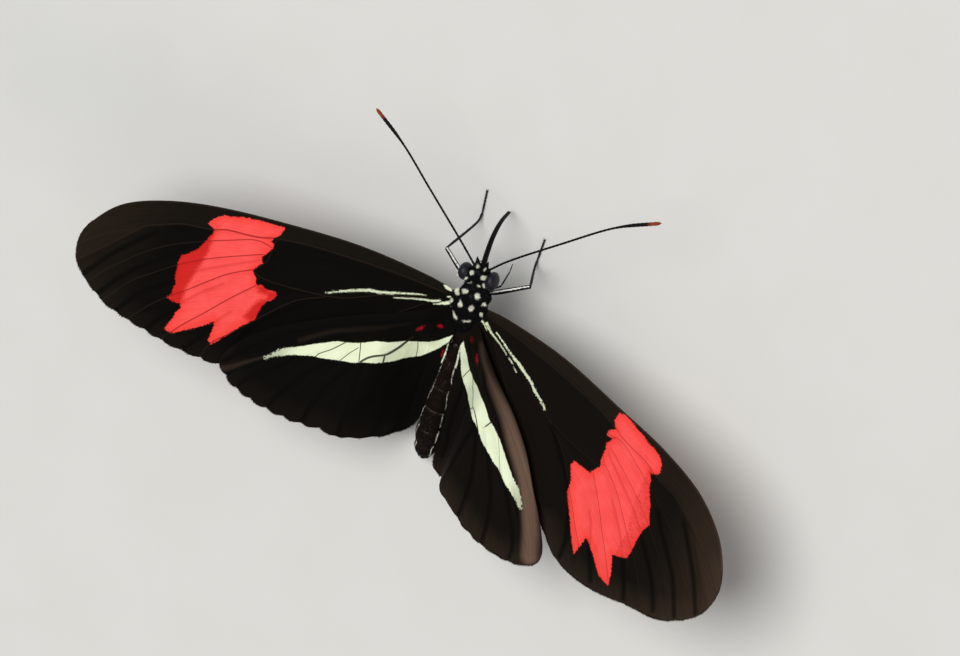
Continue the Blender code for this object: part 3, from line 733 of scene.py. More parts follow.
def link_mesh(mesh, name):
    made = bpy.data.objects.new(name, mesh)
    bpy.context.collection.objects.link(made)
    return made


def evaluated(made):
    """The object's mesh with its modifiers applied, as its new mesh."""
    bpy.context.view_layer.update()
    mesh = bpy.data.meshes.new_from_object(made.evaluated_get(bpy.context.evaluated_depsgraph_get()))
    made.modifiers.clear()
    made.data = mesh
    return mesh


def wing_parts(side_name, hind):
    """What a wing is built from: its plan, veins, folds, thin lines and pivot."""
    if hind:
        lines = BAR_LINES[side_name]
        return hind_plan[side_name], HIND_VEINS, HIND_FOLDS, lines, HIND_PIVOT
    lines = [(half * LINE_SHARE[side_name], line) for half, line in FORE_VEINS.values()]
    return fore_plan[side_name], FORE_VEINS, FORE_FOLDS, lines, FORE_PIVOT


def wing_relief(flat, veins, folds):
    """How far the membrane sinks between its veins and along its folds, and the nearest vein."""
    vein = fold_distance(flat, [line for _, line in veins.values()])
    fold = fold_distance(flat, folds)
    sink = PUCKER * (1.0 - np.exp(-(vein / 0.7) ** 2)) - FOLD_DEPTH * np.exp(-(fold / 0.25) ** 2)
    return sink * smooth((flat[:, 0] - 1.5) / 3.0), vein, fold


def store_corners(mesh, name, values):
    """Stores one number for each corner of each face under a name."""
    layer = mesh.attributes.new(name, "FLOAT", "CORNER")
    layer.data.foreach_set("value", np.asarray(values, np.float32))


def make_wing(name, side_name, hind, degrees, material):
    plan, veins, folds, lines, pivot = wing_parts(side_name, hind)
    side = {"left": 1.0, "right": -1.0}[side_name]
    data = bmesh.new()
    bmesh.ops.create_grid(data, x_segments=ROWS, y_segments=RAYS, size=0.5)
    mesh = bpy.data.meshes.new(name)
    data.to_mesh(mesh)
    data.free()
    shares = positions(mesh)[:, :2] + 0.5
    mesh_array(mesh, "along", shares[:, 0])
    mesh_array(mesh, "across", shares[:, 1])

    flat = coons(plan, shares[:, 0], shares[:, 1])
    sink, _, _ = wing_relief(flat, veins, folds)
    moved = settle(flat, pivot, degrees, hind)
    height = wing_height(moved[:, 0], moved[:, 1], hind) - sink
    mesh.vertices.foreach_set("co", np.stack([side * moved[:, 0], moved[:, 1], height], 1).ravel())
    wing = link_mesh(mesh, name)
    wall = wing.modifiers.new("membrane", "SOLIDIFY")
    wall.thickness = MEMBRANE
    wall.offset = 0.0
    mesh = evaluated(wing)

    shares = np.stack([read_array(mesh, "along"), read_array(mesh, "across")], 1)
    flat = coons(plan, shares[:, 0], shares[:, 1])
    sink, vein, fold = wing_relief(flat, veins, folds)
    moved = settle(flat, pivot, degrees, hind)
    place = positions(mesh)
    under = place[:, 2] < wing_height(moved[:, 0], moved[:, 1], hind) - sink
    place[:, 2] += np.where(under, -1.0, 1.0) * VEIN_RISE * np.exp(-(vein / VEIN_HALF) ** 2)
    mesh.vertices.foreach_set("co", place.ravel())
    # The creases that stay dark at the margin as painted shade are the veins on the hindwing and the folds on
    # the forewing
    marks = hind_marks(flat, side_name, vein) if hind else fore_marks(flat, side_name, fold)
    for mark, values in {**marks, "vein": vein, "fold": fold, "under": under}.items():
        mesh_array(mesh, mark, values)
    corner = np.empty(len(mesh.loops), np.int32)
    mesh.loops.foreach_get("vertex_index", corner)
    store_corners(mesh, "line", thin_lines(flat[corner], lines))
    rays = mesh.uv_layers.new(name="rays")
    rays.data.foreach_set("uv", shares[corner].astype(np.float32).ravel())
    mesh.transform(TO_FRAME)
    data = bmesh.new()
    data.from_mesh(mesh)
    bmesh.ops.recalc_face_normals(data, faces=data.faces)
    data.to_mesh(mesh)
    data.free()
    mesh.shade_smooth()
    mesh.materials.append(material)
    adopt(wing, "wing", name)
    print(name, "triangles", sum(len(p.vertices) - 2 for p in mesh.polygons))


# %% [markdown]
# A butterfly's wing is a clear membrane roofed with rows of tiny flat scales, and the scales hold
# all its colour. Black ones are full of melanin over a light-trapping lattice, so they look like
# velvet, with next to no gloss and a brown cast where they thin out. That brown also carries a
# painted sheen, strongest on the right wings, and a painted highlight on the forewing's front edge,
# while the creases keep a painted shade. The red and pale yellow ones are plain pigment, and the red
# is darkened along the folds as painted shade. The material reads the stored distances, moves each
# marking's edge in and out by a noise as coarse as a few scales, and streaks everything along the
# rays of the wing. Single scales are 0.1 mm long, about one pixel here, so only their grain shows,
# as cells of that size.

# %% Wing material
def ray_pattern(tree, across, down, detail):
    """A noise stretched along the rays of the wing: features across the wing, and down its length."""
    rays = add_node(tree, "UVMap", uv_map="rays")
    stretched = add_node(tree, "Mapping", {"Vector": rays, "Scale": (across, down, 1.0)})
    return add_node(tree, "TexNoise", {"Vector": stretched, "Scale": 1.0, "Detail": detail})


def wing_scales():
    made, tree, shader = new_material("wing_scales", 0.8, 0.05)
    names = ("red", "deep", "cream", "ragged", "brown", "fold", "line", "under")
    at = {name: add_node(tree, "Attribute", attribute_name=name).node.outputs["Fac"] for name in names}
    streak = ray_pattern(tree, 9.0, 150.0, 3.0)
    band = ray_pattern(tree, 3.0, 34.0, 2.0)
    cells = object_pattern(tree, "TexVoronoi", 0.11)
    fleck = add_node(tree, "SeparateColor", (cells.node.outputs["Color"],))
    patchy = object_pattern(tree, "TexNoise", 1.1, Detail=4.0)
    lower = add_node(tree, "SeparateXYZ", (add_node(tree, "UVMap", uv_map="rays"),)).node.outputs["Y"]

    # How far each marking's edge wanders here, in millimetres
    wander = add_node(tree, "Math", (streak, 0.36, -0.26), operation="MULTIPLY_ADD")
    wander = add_node(tree, "Math", (fleck, 0.16, wander), operation="MULTIPLY_ADD")
    raggedness = add_node(tree, "Math", (at["ragged"], 1.5, 0.4), operation="MULTIPLY_ADD")
    edge = {
        name: add_node(tree, "Math", (wander, reach, at[name]), operation="MULTIPLY_ADD")
        for name, reach in (("red", 0.75), ("deep", 1.2), ("cream", raggedness))
    }
    # The share of each layer of colour: from none at the first value to the most at the second
    share = {}
    for name, value, none_at, most_at, most in (
        ("red", edge["red"], 0.07, -0.03, 1.0), ("deep", edge["deep"], 0.3, -0.25, 0.9),
        ("cream", edge["cream"], 0.05, -0.04, 1.0), ("lower", lower, 0.5, 0.95, 0.5),
        ("rim", at["red"], -1.0, 0.0, 0.55), ("fold", at["fold"], 0.22, 0.0, 0.4),
        ("streak", streak, 0.42, 0.75, 0.35), ("dot", at["deep"], -2.0, -2.5, 1.0),
        ("line", add_node(tree, "Math", (at["line"],), operation="ABSOLUTE"), 1.3, 0.7, 1.0),
    ):
        wired = (value, none_at, most_at, 0.0, most)
        share[name] = add_node(tree, "MapRange", wired, interpolation_type="SMOOTHSTEP")
    # A thin line is dark red over the red, black over the cream and a little paler over the black
    on_black, on_red, on_cream = (
        add_node(tree, "Math", (share["line"], most), operation="MULTIPLY") for most in (0.4, 0.8, 0.92)
    )
    faded = add_node(tree, "Math", (at["ragged"], -0.6, 1.0), operation="MULTIPLY_ADD")
    cream_share = add_node(tree, "Math", (share["cream"], faded), operation="MULTIPLY")
    thin = add_node(tree, "Math", (streak, 0.9, 0.55), operation="MULTIPLY_ADD")
    # The brown share holds brown scales, painted sheen and the painted highlight of the forewing's front
    # edge, and it is low on the creases as painted shade
    brown_and_sheen_share = add_node(tree, "Math", (at["brown"], thin), operation="MULTIPLY")

    black = painted(tree, "#020201", (band, "#070704"), (brown_and_sheen_share, "#70594A"), (on_black, "#2E2218"))
    # Along the folds the red is darkened a little as painted shade in the creases
    red = painted(
        tree, "#F04845", (patchy, "#FF605D"), (share["lower"], "#F24A36"), (share["rim"], "#F4382C"),
        (share["deep"], "#C51B18"), (share["fold"], "#C62620"), (share["streak"], "#DC2C28"),
        (share["dot"], "#97091F"), (on_red, "#981A15"),
    )
    cream = painted(tree, "#DCE5BC", (patchy, "#EEF6D8"), (on_cream, "#14120C"))
    colour = painted(tree, black, (share["red"], red), (cream_share, cream))
    # The underside is duller and browner, with the same markings washed out
    dull = add_node(tree, "HueSaturation", {"Saturation": 0.62, "Value": 0.8, "Color": colour})
    colour = painted(tree, colour, (at["under"], painted(tree, dull, (0.16, "#6A5446"))))
    roof = add_node(tree, "Math", (streak, 0.7, cells), operation="MULTIPLY_ADD")
    dress(tree, shader, colour, roof, 0.5, 0.03)
    fill(tree, shader, {"Sheen Weight": 0.01, "Sheen Roughness": 0.5, "Sheen Tint": "#A08B78"})
    return made


# %% Four wings
scales = wing_scales()
for side_name, toward in (("left", 1.0), ("right", -1.0)):
    make_wing("wing_fore_" + side_name, side_name, False, toward, scales)
    make_wing("wing_hind_" + side_name, side_name, True, -2.0 * toward, scales)

# %% [markdown]
# Head, thorax and abdomen are one continuous skin on a real butterfly, so they are one piece here
# too and stand for three solids. Each swelling is a ball or a swept limb: the big flight-muscle
# block, the collar, the two shoulder lappets, the cap over each wing root, the hips and the
# abdomen with its rings. A voxel remesh fuses them as clay would, and a light smoothing softens
# the joins. The skin stays a hair's depth inside the solids, because a coat comes over it.

# %% Limb and ball helpers
def ball(data, centre, half, turn=Matrix(), detail=4):
    shape = Matrix.Translation(centre) @ turn @ Matrix.Diagonal((*half, 1.0))
    return bmesh.ops.create_icosphere(data, subdivisions=detail, radius=1.0, matrix=shape)["verts"]


def path_frames(path, half, lean=Vector((1.0, 0.0, 0.0))):
    """One matrix for each path point: across, up and ahead, scaled to the limb's half width."""
    frames = []
    side = lean
    last = len(path) - 1
    for i, point in enumerate(path):
        ahead = (path[min(i + 1, last)] - path[max(i - 1, 0)]).normalized()
        side = (side - ahead * side.dot(ahead)).normalized()
        wide, high = half(i / last)
        frame = Matrix((side * wide, ahead.cross(side) * high, ahead * wide)).transposed().to_4x4()
        frame.translation = point
        frames.append(frame)
    return frames


def sweep(data, path, half, sides=10):
    """A closed limb: a capped circle, extruded and set anew at each point of the path."""
    along = data.verts.layers.float.get("along") or data.verts.layers.float.new("along")
    frames = path_frames(path, half)
    made = bmesh.ops.create_circle(data, cap_ends=True, segments=sides, radius=1.0, matrix=frames[0])["verts"]
    ring = list({edge for vertex in made for edge in vertex.link_edges})
    for i, (before, frame) in enumerate(zip(frames, frames[1:]), 1):
        grown = bmesh.ops.extrude_edge_only(data, edges=ring)["geom"]
        fresh = [g for g in grown if isinstance(g, bmesh.types.BMVert)]
        ring = [g for g in grown if isinstance(g, bmesh.types.BMEdge) and all(v in fresh for v in g.verts)]
        bmesh.ops.transform(data, matrix=frame @ before.inverted(), verts=fresh)
        for vertex in fresh:
            vertex[along] = i / (len(frames) - 1)
        made += fresh
    bmesh.ops.contextual_create(data, geom=ring)
    return made


def even_path(points, step):
    """Points about one step apart on the smooth curve through a few points."""
    line = curve(points)
    length = np.linalg.norm(np.diff(line, axis=0), axis=1).sum()
    count = max(2, round(length / step) + 1)
    return [Vector(p) for p in at_share(line, np.linspace(0.0, 1.0, count))]


def finished(data, name, material, slot, *nodes):
    """Closes the modelling of a piece in millimetres and sets it into the frame."""
    bmesh.ops.recalc_face_normals(data, faces=data.faces)
    bmesh.ops.transform(data, matrix=TO_FRAME, verts=data.verts)
    mesh = bpy.data.meshes.new(name)
    data.to_mesh(mesh)
    data.free()
    mesh.shade_smooth()
    mesh.materials.append(material)
    made = adopt(link_mesh(mesh, name), slot, *nodes)
    print(name, "faces", len(mesh.polygons))
    return made


# %% Body skin
BODY_TURN = Matrix.Rotation(math.radians(-21.7), 4, "X")       # head above tail
THORAX_CENTRE = Vector((0.0, 0.0, -0.35))
HEAD_CENTRE = Vector((0.1, -3.95, 1.05))
HEAD_TURN = Matrix.Rotation(math.radians(8.0), 4, "Z") @ Matrix.Rotation(math.radians(18.0), 4, "X")
# Swellings of the thorax in its own tilted axes: centre, half sizes. A side one is made twice.
THORAX_LUMPS = [
    ((0.0, 0.2, 0.05), (1.68, 1.8, 1.5)),       # flight-muscle block
    ((0.0, -1.45, 0.05), (1.42, 1.35, 1.3)),
    ((0.0, -0.2, -0.4), (1.42, 2.4, 1.15)),     # breast
    ((0.0, 1.85, -0.2), (1.15, 0.95, 1.05)),    # hind block, towards the waist
    ((0.0, 1.1, 0.98), (1.25, 1.1, 0.62)),      # round shield over the hind block
]
SIDE_LUMPS = [
    ((0.66, -2.0, 0.82), (0.5, 0.42, 0.3)),     # shoulder lappet
    ((1.48, -0.95, 0.66), (0.4, 0.9, 0.32)),     # cap over the forewing root
    ((1.5, 0.0, 0.62), (0.55, 0.75, 0.28)),     # forewing root
    ((1.3, 1.75, 0.85), (0.5, 0.6, 0.25)),      # hindwing root
    ((0.75, -0.9, -1.2), (0.5, 0.5, 0.55)),     # middle hip
    ((0.75, 1.1, -1.1), (0.5, 0.55, 0.5)),      # hind hip
    ((0.6, -1.9, -0.9), (0.4, 0.42, 0.5)),      # front hip
]
HEAD_LUMPS = [
    ((0.0, 0.05, 0.0), (1.0, 0.86, 0.92)),
    ((0.0, -0.38, 0.12), (0.62, 0.48, 0.56)),    # brow between the feelers
    ((0.0, -0.38, -0.55), (0.45, 0.40, 0.42)),  # mouth
    ((0.95, 0.85, -0.1), (0.38, 0.3, 0.5)),     # cheeks, behind the eyes
    ((-0.95, 0.85, -0.1), (0.38, 0.3, 0.5)),
    ((0.38, -0.42, 0.62), (0.24, 0.24, 0.24)),  # feeler sockets
    ((-0.38, -0.42, 0.62), (0.24, 0.24, 0.24)),
]
COLLAR = ((0.04, -2.3, 0.72), (1.12, 0.62, 0.76))
NECK = ((0.06, -3.1, 0.8), (0.7, 0.5, 0.62))
SEGMENTS = 8
SEGMENT_GROOVE = 0.09
SKIN_VOXEL = 0.075


def abdomen_frame(y):
    middle, half = abdomen_at(np.array([y]))
    return Vector((0.0, y, float(middle[0]))), float(half[0])


def abdomen_limb(data):
    """The abdomen's rings: each one swells and then tucks under the next."""
    steps = 96
    front, back = ABDOMEN[0][0] - 0.3, ABDOMEN[-1][0] - 0.05
    path = [abdomen_frame(front + (back - front) * i / steps)[0] for i in range(steps + 1)]

    def half(share):
        y = front + (back - front) * share
        part = (share * SEGMENTS) % 1.0
        wide = abdomen_frame(y)[1] - 0.08 + SEGMENT_GROOVE * (math.sin(math.pi * part ** 0.7) - 0.6)
        return max(wide, 0.12), max(wide, 0.12) * 1.05

    sweep(data, path, half, 24)


data = bmesh.new()
for centre, half in THORAX_LUMPS:
    ball(data, THORAX_CENTRE + BODY_TURN @ Vector(centre), half, BODY_TURN)
for side in (1.0, -1.0):
    for (x, y, z), half in SIDE_LUMPS:
        ball(data, THORAX_CENTRE + BODY_TURN @ Vector((side * x, y, z)), half, BODY_TURN)
for centre, half in HEAD_LUMPS:
    ball(data, HEAD_CENTRE + HEAD_TURN @ Vector(centre), half, HEAD_TURN)
for centre, half in (COLLAR, NECK):
    ball(data, Vector(centre), half, BODY_TURN)
abdomen_limb(data)
mesh = bpy.data.meshes.new("body_skin")
data.to_mesh(mesh)
data.free()
skin = link_mesh(mesh, "body_skin")
fuse = skin.modifiers.new("fuse", "REMESH")
fuse.mode = "VOXEL"
fuse.voxel_size = SKIN_VOXEL
soften = skin.modifiers.new("soften", "SMOOTH")
soften.factor = 0.5
soften.iterations = 3
skin_mesh = evaluated(skin)
skin_source = skin_mesh.copy()      # stays in millimetres, to root the coat on
print("body skin faces", len(skin_mesh.polygons))

# %% [markdown]
# The body is black, with cream spots in pairs from the face to the little shield between the
# wings, and the brown abdomen carries thin pale side lines and rings. The skin and its coat must
# wear the same pattern, so one function works it out for any list of points, as distances in
# millimetres again. A spot is a small squarish egg with a heading.

# %% Body markings
# Spots: place, half length, half width and the way that the length points
SPOTS = [
    ((0.40, -4.55, 1.60), 0.22, 0.17, (0.55, -0.66, -0.52)), ((-0.36, -4.65, 1.55), 0.19, 0.15,
                                                              (0.20, -0.44, -0.88)),
    ((0.61, -3.82, 1.81), 0.29, 0.20, (-0.67, -0.57, 0.48)), ((-0.62, -3.92, 1.66), 0.29, 0.20,
                                                              (-0.68, -0.08, -0.73)),
    ((1.00, -2.95, 1.64), 0.24, 0.11, (-0.48, -0.75, 0.47)), ((-0.96, -3.19, 1.63), 0.24, 0.13,
                                                              (0.22, -0.76, 0.61)),
    ((0.56, -2.65, 1.17), 0.22, 0.08, (-0.88, -0.48, -0.03)), ((-0.35, -2.81, 1.20), 0.18, 0.12,
                                                               (-0.62, 0.32, -0.72)),
    ((1.41, -1.24, 1.04), 0.38, 0.26, (0.68, -0.72, 0.14)), ((0.57, -1.76, 1.44), 0.28, 0.22,
                                                             (-0.87, -0.44, -0.21)),
    ((-0.70, -1.91, 1.35), 0.27, 0.22, (0.55, -0.60, -0.58)), ((0.60, -0.38, 1.03), 0.35, 0.25,
                                                               (0.08, -1.00, -0.01)),
    ((-0.56, -0.50, 1.10), 0.32, 0.23, (-0.22, -0.82, 0.52)), ((-1.51, -1.45, 0.90), 0.35, 0.21,
                                                               (-0.18, -0.05, -0.98)),
    ((-1.62, -0.30, 0.78), 0.27, 0.14, (-0.01, -0.89, 0.45)), ((1.69, -0.05, 0.59), 0.28, 0.16,
                                                               (-0.28, -0.76, 0.59)),
    ((1.55, 0.84, 0.16), 0.32, 0.09, (-0.07, -0.62, 0.78)), ((0.76, 1.06, 0.66), 0.42, 0.17,
                                                             (0.87, -0.46, -0.15)),
    ((-0.57, 0.98, 0.81), 0.36, 0.12, (-0.88, -0.47, -0.08)), ((1.19, 2.14, -0.04), 0.28, 0.04,
                                                               (0.50, -0.74, 0.45)),
]
SPOT_GROWTH = 1.10      # the hairs at a spot's rim lie over it, so it starts a little larger
# The abdomen's pale side lines: distance back, degrees down from the top
SIDE_LINES = {
    "left": [(2.0, 56.0), (9.0, 56.0), (11.0, 60.0), (12.8, 54.0), (14.1, 48.0), (16.3, 39.0)],
    "right": [(2.0, 60.0), (6.3, 60.0), (8.0, 66.0), (9.8, 68.0), (11.0, 66.0), (12.7, 62.0), (16.0, 53.0)],
}
DASHED_FROM = 11.0
DIM_RINGS = (9.3, 11.8)
RING_SPACING = (17.5 - 2.0) / SEGMENTS


def unit(rows):
    return rows / np.maximum(np.linalg.norm(rows, axis=1, keepdims=True), 1e-9)


def body_marks(points):
    """Distances to the pale marks, and where the abdomen begins, for rows of points."""
    spot = np.full(len(points), 9.0)
    for centre, half_length, half_width, way in SPOTS:
        gap = points - np.array(centre)
        along = gap @ unit(np.array([way]))[0]
        across = np.sqrt(np.maximum(np.sum(gap * gap, axis=1) - along ** 2, 0.0))
        size = np.cbrt((np.abs(along) / half_length) ** 3 + (across / half_width) ** 3)
        spot = np.minimum(spot, (size - SPOT_GROWTH) * half_width)
    middle, half = abdomen_at(points[:, 1])
    rear = smooth((points[:, 1] - 2.4) / 0.8) * smooth((0.2 - points[:, 2]) / 0.4)
    round_it = np.arctan2(np.abs(points[:, 0]), points[:, 2] - middle)
    left, right = (np.interp(points[:, 1], *zip(*SIDE_LINES[side])) for side in ("left", "right"))
    place = np.radians(np.where(points[:, 0] > 0.0, left, right))
    joint = np.abs((points[:, 1] - 2.0) / RING_SPACING % 1.0 - 0.95) * RING_SPACING
    dash = np.where((joint < 0.4) & (points[:, 1] > DASHED_FROM), 0.2, 0.0)
    half_line = np.interp(points[:, 1], (6.0, 11.0), (0.075, 0.05))
    line = np.abs(round_it - place) * half - half_line + dash + 9.0 * (1.0 - rear)
    ring = np.min([np.abs(points[:, 1] - y) for y in DIM_RINGS], axis=0) - 0.03 + 9.0 * (round_it > place)
    return {"spot": spot, "line": line, "ring": ring, "rear": rear}


for name, values in body_marks(positions(skin_mesh)).items():
    mesh_array(skin_mesh, name, values)
print("spots", len(SPOTS))

# %% [markdown]
# Under the coat the cuticle of a butterfly is a hard, dark, slightly glossy shell. Scales and hairs
# lie over it, black with cream tufts in the spots. One function builds both materials, so that a
# gap in the coat shows a skin with the same pattern.

# %% Skin and coat materials
def body_scales(name, roughness, specular, light_tip):
    made, tree, shader = new_material(name, roughness, specular)
    speck = object_pattern(tree, "TexNoise", 0.12, Detail=3.0)
    wander = add_node(tree, "Math", (speck, 0.1, -0.05), operation="MULTIPLY_ADD")
    share = {}
    for name, soft in (("spot", 0.04), ("line", 0.03), ("ring", 0.04)):
        distance = add_node(tree, "Attribute", attribute_name=name).node.outputs["Fac"]
        edge = add_node(tree, "Math", (wander, distance), operation="ADD")
        share[name] = add_node(tree, "MapRange", (edge, soft, -soft))
    rear = add_node(tree, "Attribute", attribute_name="rear").node.outputs["Fac"]
    black = painted(tree, "#040405", (speck, light_tip))
    brown = painted(tree, "#0A0604", (speck, "#28170E"))
    pale = painted(tree, "#F3F1CE", (speck, "#FFFFF6"))
    either = add_node(tree, "Math", (share["spot"], share["line"]), operation="MAXIMUM")
    colour = painted(tree, black, (rear, brown), (share["ring"], "#5F5443"), (either, pale))
    dress(tree, shader, colour, speck, 0.6, 0.03)
    return made


# Bare shell: darker and glossier than the coat, seen only where the hairs part
cuticle = body_scales("black_cuticle", 0.42, 0.4, "#101013")
# Hairs and scales: soft, with a faint blue-grey lift on the tips that shows the relief of the black
hairs = body_scales("black_and_cream_hairs", 0.7, 0.12, "#0D0D11")
skin_mesh.transform(TO_FRAME)
skin_mesh.shade_smooth()
skin_mesh.materials.append(cuticle)
adopt(skin, "body", "thorax", "head", "abdomen")
print("skin placed, faces", len(skin_mesh.polygons))

# %% [markdown]
# The coat is made of closed slivers: a three-sided root, a three-sided middle and a point. Each one
# leaves the skin at its own root, follows the lie of the hair and bends back towards the skin. The
# roots are drawn at random with the same chance for each patch of skin area. A second UV map gives
# every sliver a tiny patch of its own at its root's place on a simple unwrap of the body.

# %% Coat of slivers
SLIVER_FACES = np.array([
    (0, 1, 4), (0, 4, 3), (1, 2, 5), (1, 5, 4), (2, 0, 3), (2, 3, 5), (3, 4, 6), (4, 5, 6), (5, 3, 6),
    (0, 2, 1),
])
BAKE_PATCH = 0.0015         # half width of a sliver's patch on the unwrap


def sample_skin(mesh, count, density):
    """Random places on a mesh, with their normals. Density weighs the places of the triangles."""
    mesh.calc_loop_triangles()
    corners = np.empty(len(mesh.loop_triangles) * 3, np.int32)
    mesh.loop_triangles.foreach_get("vertices", corners)
    corners = corners.reshape(-1, 3)
    place = positions(mesh)
    normal = np.empty(len(mesh.vertices) * 3, np.float32)
    mesh.vertices.foreach_get("normal", normal)
    normal = normal.reshape(-1, 3).astype(float)
    a, b, c = (place[corners[:, k]] for k in range(3))
    weight = np.linalg.norm(np.cross(b - a, c - a), axis=1) * density((a + b + c) / 3.0)
    chosen = corners[random.choice(len(corners), count, p=weight / weight.sum())]
    share = random.dirichlet((1.0, 1.0, 1.0), count)
    spots = sum(place[chosen[:, k]] * share[:, k:k + 1] for k in range(3))
    return spots, unit(sum(normal[chosen[:, k]] * share[:, k:k + 1] for k in range(3)))


def slivers(name, roots, normals, lie, lengths, half_widths, rise, patches, marks, material, slot):
    """A coat piece: one closed sliver for each root, in millimetres until the end."""
    count = len(roots)
    flat_lie = unit(lie - normals * np.sum(lie * normals, axis=1, keepdims=True))
    across = np.cross(normals, flat_lie)
    lengths, half_widths, rise = lengths[:, None], half_widths[:, None], rise[:, None]
    middle = roots + flat_lie * lengths * 0.5 + normals * lengths * rise
    tip = roots + flat_lie * lengths + normals * lengths * rise * 1.1
    start = roots - normals * half_widths
    offsets = (across * half_widths, -across * half_widths, normals * half_widths * 0.7)
    rings = [start + offset for offset in offsets] + [middle + offset * 0.85 for offset in offsets]
    vertices = np.stack([*rings, tip], 1).reshape(-1, 3)
    faces = (SLIVER_FACES[None] + 7 * np.arange(count)[:, None, None]).reshape(-1)

    mesh = bpy.data.meshes.new(name)
    mesh.vertices.add(len(vertices))
    mesh.vertices.foreach_set("co", vertices.astype(np.float32).ravel())
    mesh.loops.add(len(faces))
    mesh.loops.foreach_set("vertex_index", faces.astype(np.int32))
    mesh.polygons.add(len(faces) // 3)
    mesh.polygons.foreach_set("loop_start", np.arange(0, len(faces), 3, dtype=np.int32))
    mesh.update(calc_edges=True)
    for mark_name, values in marks.items():
        mesh_array(mesh, mark_name, np.repeat(values, 7))
    corner_shift = np.array([(-1, -1), (1, -1), (0, -1), (-1, 0), (1, 0), (0, 0), (0, 1)]) * BAKE_PATCH
    spread = (patches[:, None, :] + corner_shift[None]).reshape(-1, 2)
    mesh.uv_layers.new(name="OFBake").data.foreach_set("uv", spread[faces].astype(np.float32).ravel())
    mesh.transform(TO_FRAME)
    mesh.shade_smooth()
    mesh.materials.append(material)
    print(name, "slivers", count, "triangles", len(mesh.polygons))
    return adopt(link_mesh(mesh, name), slot)


def body_unwrap(points):
    """A cylinder unwrap of the body: the angle about its long axis, and the distance along it."""
    middle = np.interp(points[:, 1], (-5.0, -2.0, 2.3, 6.5, 17.5), (0.9, 0.4, -1.0, -2.0, -6.3))
    angle = np.arctan2(points[:, 0], points[:, 2] - middle) / (2.0 * math.pi) + 0.5
    return np.stack([0.02 + 0.96 * angle, 0.02 + 0.96 * np.clip((points[:, 1] + 5.5) / 23.5, 0.0, 1.0)], 1)


def body_coat(name, slot, count, density, lie_at, length, half_width, rise):
    roots, normals = sample_skin(skin_source, count, density)
    lie = lie_at(roots) + random.normal(0.0, 0.28, (count, 3))
    lengths = random.uniform(0.65, 1.2, count) * length
    widths = random.uniform(0.8, 1.2, count) * half_width
    lift = random.uniform(0.6, 1.5, count) * rise
    # A sliver's colour is that of the place which its middle covers
    marks = body_marks(roots + unit(lie) * lengths[:, None] * 0.5)
    return slivers(name, roots, normals, lie, lengths, widths, lift, body_unwrap(roots), marks, hairs, slot)


def tailwards(points):
    return np.tile((0.0, 1.0, -0.38), (len(points), 1))


def from_face(points):
    """Hair on the head stands forward at the face and lies back behind the feelers."""
    forward = smooth((-3.9 - points[:, 1]) / 0.7)[:, None]
    return (1.0 - forward) * np.array((0.0, 1.0, 0.1)) + forward * np.array((0.0, -1.0, 0.35))


HEAD_END, THORAX_END = -3.0, 2.7


def on_head(points):
    return (points[:, 1] < HEAD_END) * 1.0


def on_thorax(points):
    return (points[:, 1] >= HEAD_END) * (points[:, 1] < THORAX_END) * 1.0


def on_abdomen(points):
    return (points[:, 1] >= THORAX_END) * 1.0


body_coat("coat_thorax", "body", 17000, on_thorax, tailwards, 0.3, 0.026, 0.2)
body_coat("coat_head", "head", 9000, on_head, from_face, 0.19, 0.02, 0.3)
body_coat("coat_abdomen", "abdomen", 15000, on_abdomen, tailwards, 0.34, 0.034, 0.12)
# Two white tufts of the cheek that show past the outer rim of the left eye: root, and way out
CHEEK_TUFTS = [((2.05, -3.16, 1.28), (0.87, 0.45, 0.21)), ((1.89, -2.86, 1.32), (0.56, 0.80, 0.23))]
TUFT_HAIRS = 16


def cheek_coat():
    roots, ways = (np.repeat([tuft[k] for tuft in CHEEK_TUFTS], TUFT_HAIRS, axis=0) for k in (0, 1))
    roots = roots + random.normal(0.0, 0.04, roots.shape)
    count = len(roots)
    lie = ways + random.normal(0.0, 0.2, ways.shape)
    up = np.tile((0.0, 0.0, 1.0), (count, 1))
    lengths = random.uniform(0.18, 0.28, count)
    here = (("spot", -1.0), ("line", 9.0), ("ring", 9.0), ("rear", 0.0))
    marks = {mark: np.full(count, value) for mark, value in here}
    slivers("coat_cheek", roots, up, lie, lengths, np.full(count, 0.03), np.full(count, 0.1),
            body_unwrap(roots), marks, hairs, "head")


cheek_coat()

# %% [markdown]
# The eyes are separate domes with a soft sheen. A compound eye has thousands of six-sided lenses, each about
# 0.025 mm across. That is a quarter of a pixel here, so the material draws them at 0.08 mm.

# %% Eyes
EYE_OFFSET = (1.45, 0.33, 0.0)
EYE_HALF = {"left": (0.67, 0.88, 0.92), "right": (0.62, 0.96, 0.96)}


def lens_mosaic():
    made, tree, shader = new_material("lens_mosaic", 0.5, 0.28)
    cells = object_pattern(tree, "TexVoronoi", 0.08)
    shade = object_pattern(tree, "TexNoise", 0.6, Detail=1.0)
    rim = add_node(tree, "MapRange", (cells, 0.25, 0.6))
    colour = painted(tree, "#080813", (shade, "#1A1A34"), (rim, "#07070B"))
    dome = add_node(tree, "Math", (1.0, cells), operation="SUBTRACT")
    dress(tree, shader, colour, dome, 0.5, 0.02)
    fill(tree, shader, {"Coat Weight": 0.12, "Coat Roughness": 0.35})
    return made


lenses = lens_mosaic()
for side_name, side in (("left", 1.0), ("right", -1.0)):
    data = bmesh.new()
    offset = Vector((side * EYE_OFFSET[0], EYE_OFFSET[1], EYE_OFFSET[2]))
    ball(data, HEAD_CENTRE + HEAD_TURN @ offset, EYE_HALF[side_name], HEAD_TURN, 5)
    finished(data, "eye_dome_" + side_name, lenses, "eye", "eye_" + side_name)

# %% [markdown]
# A feeler is a stalk of some forty-five short rings on a stout first joint. It thickens slowly to
# the club, whose last millimetre or so is rusty red. The ring joints are pinched a little, as a
# profile of half widths that the sweep follows.

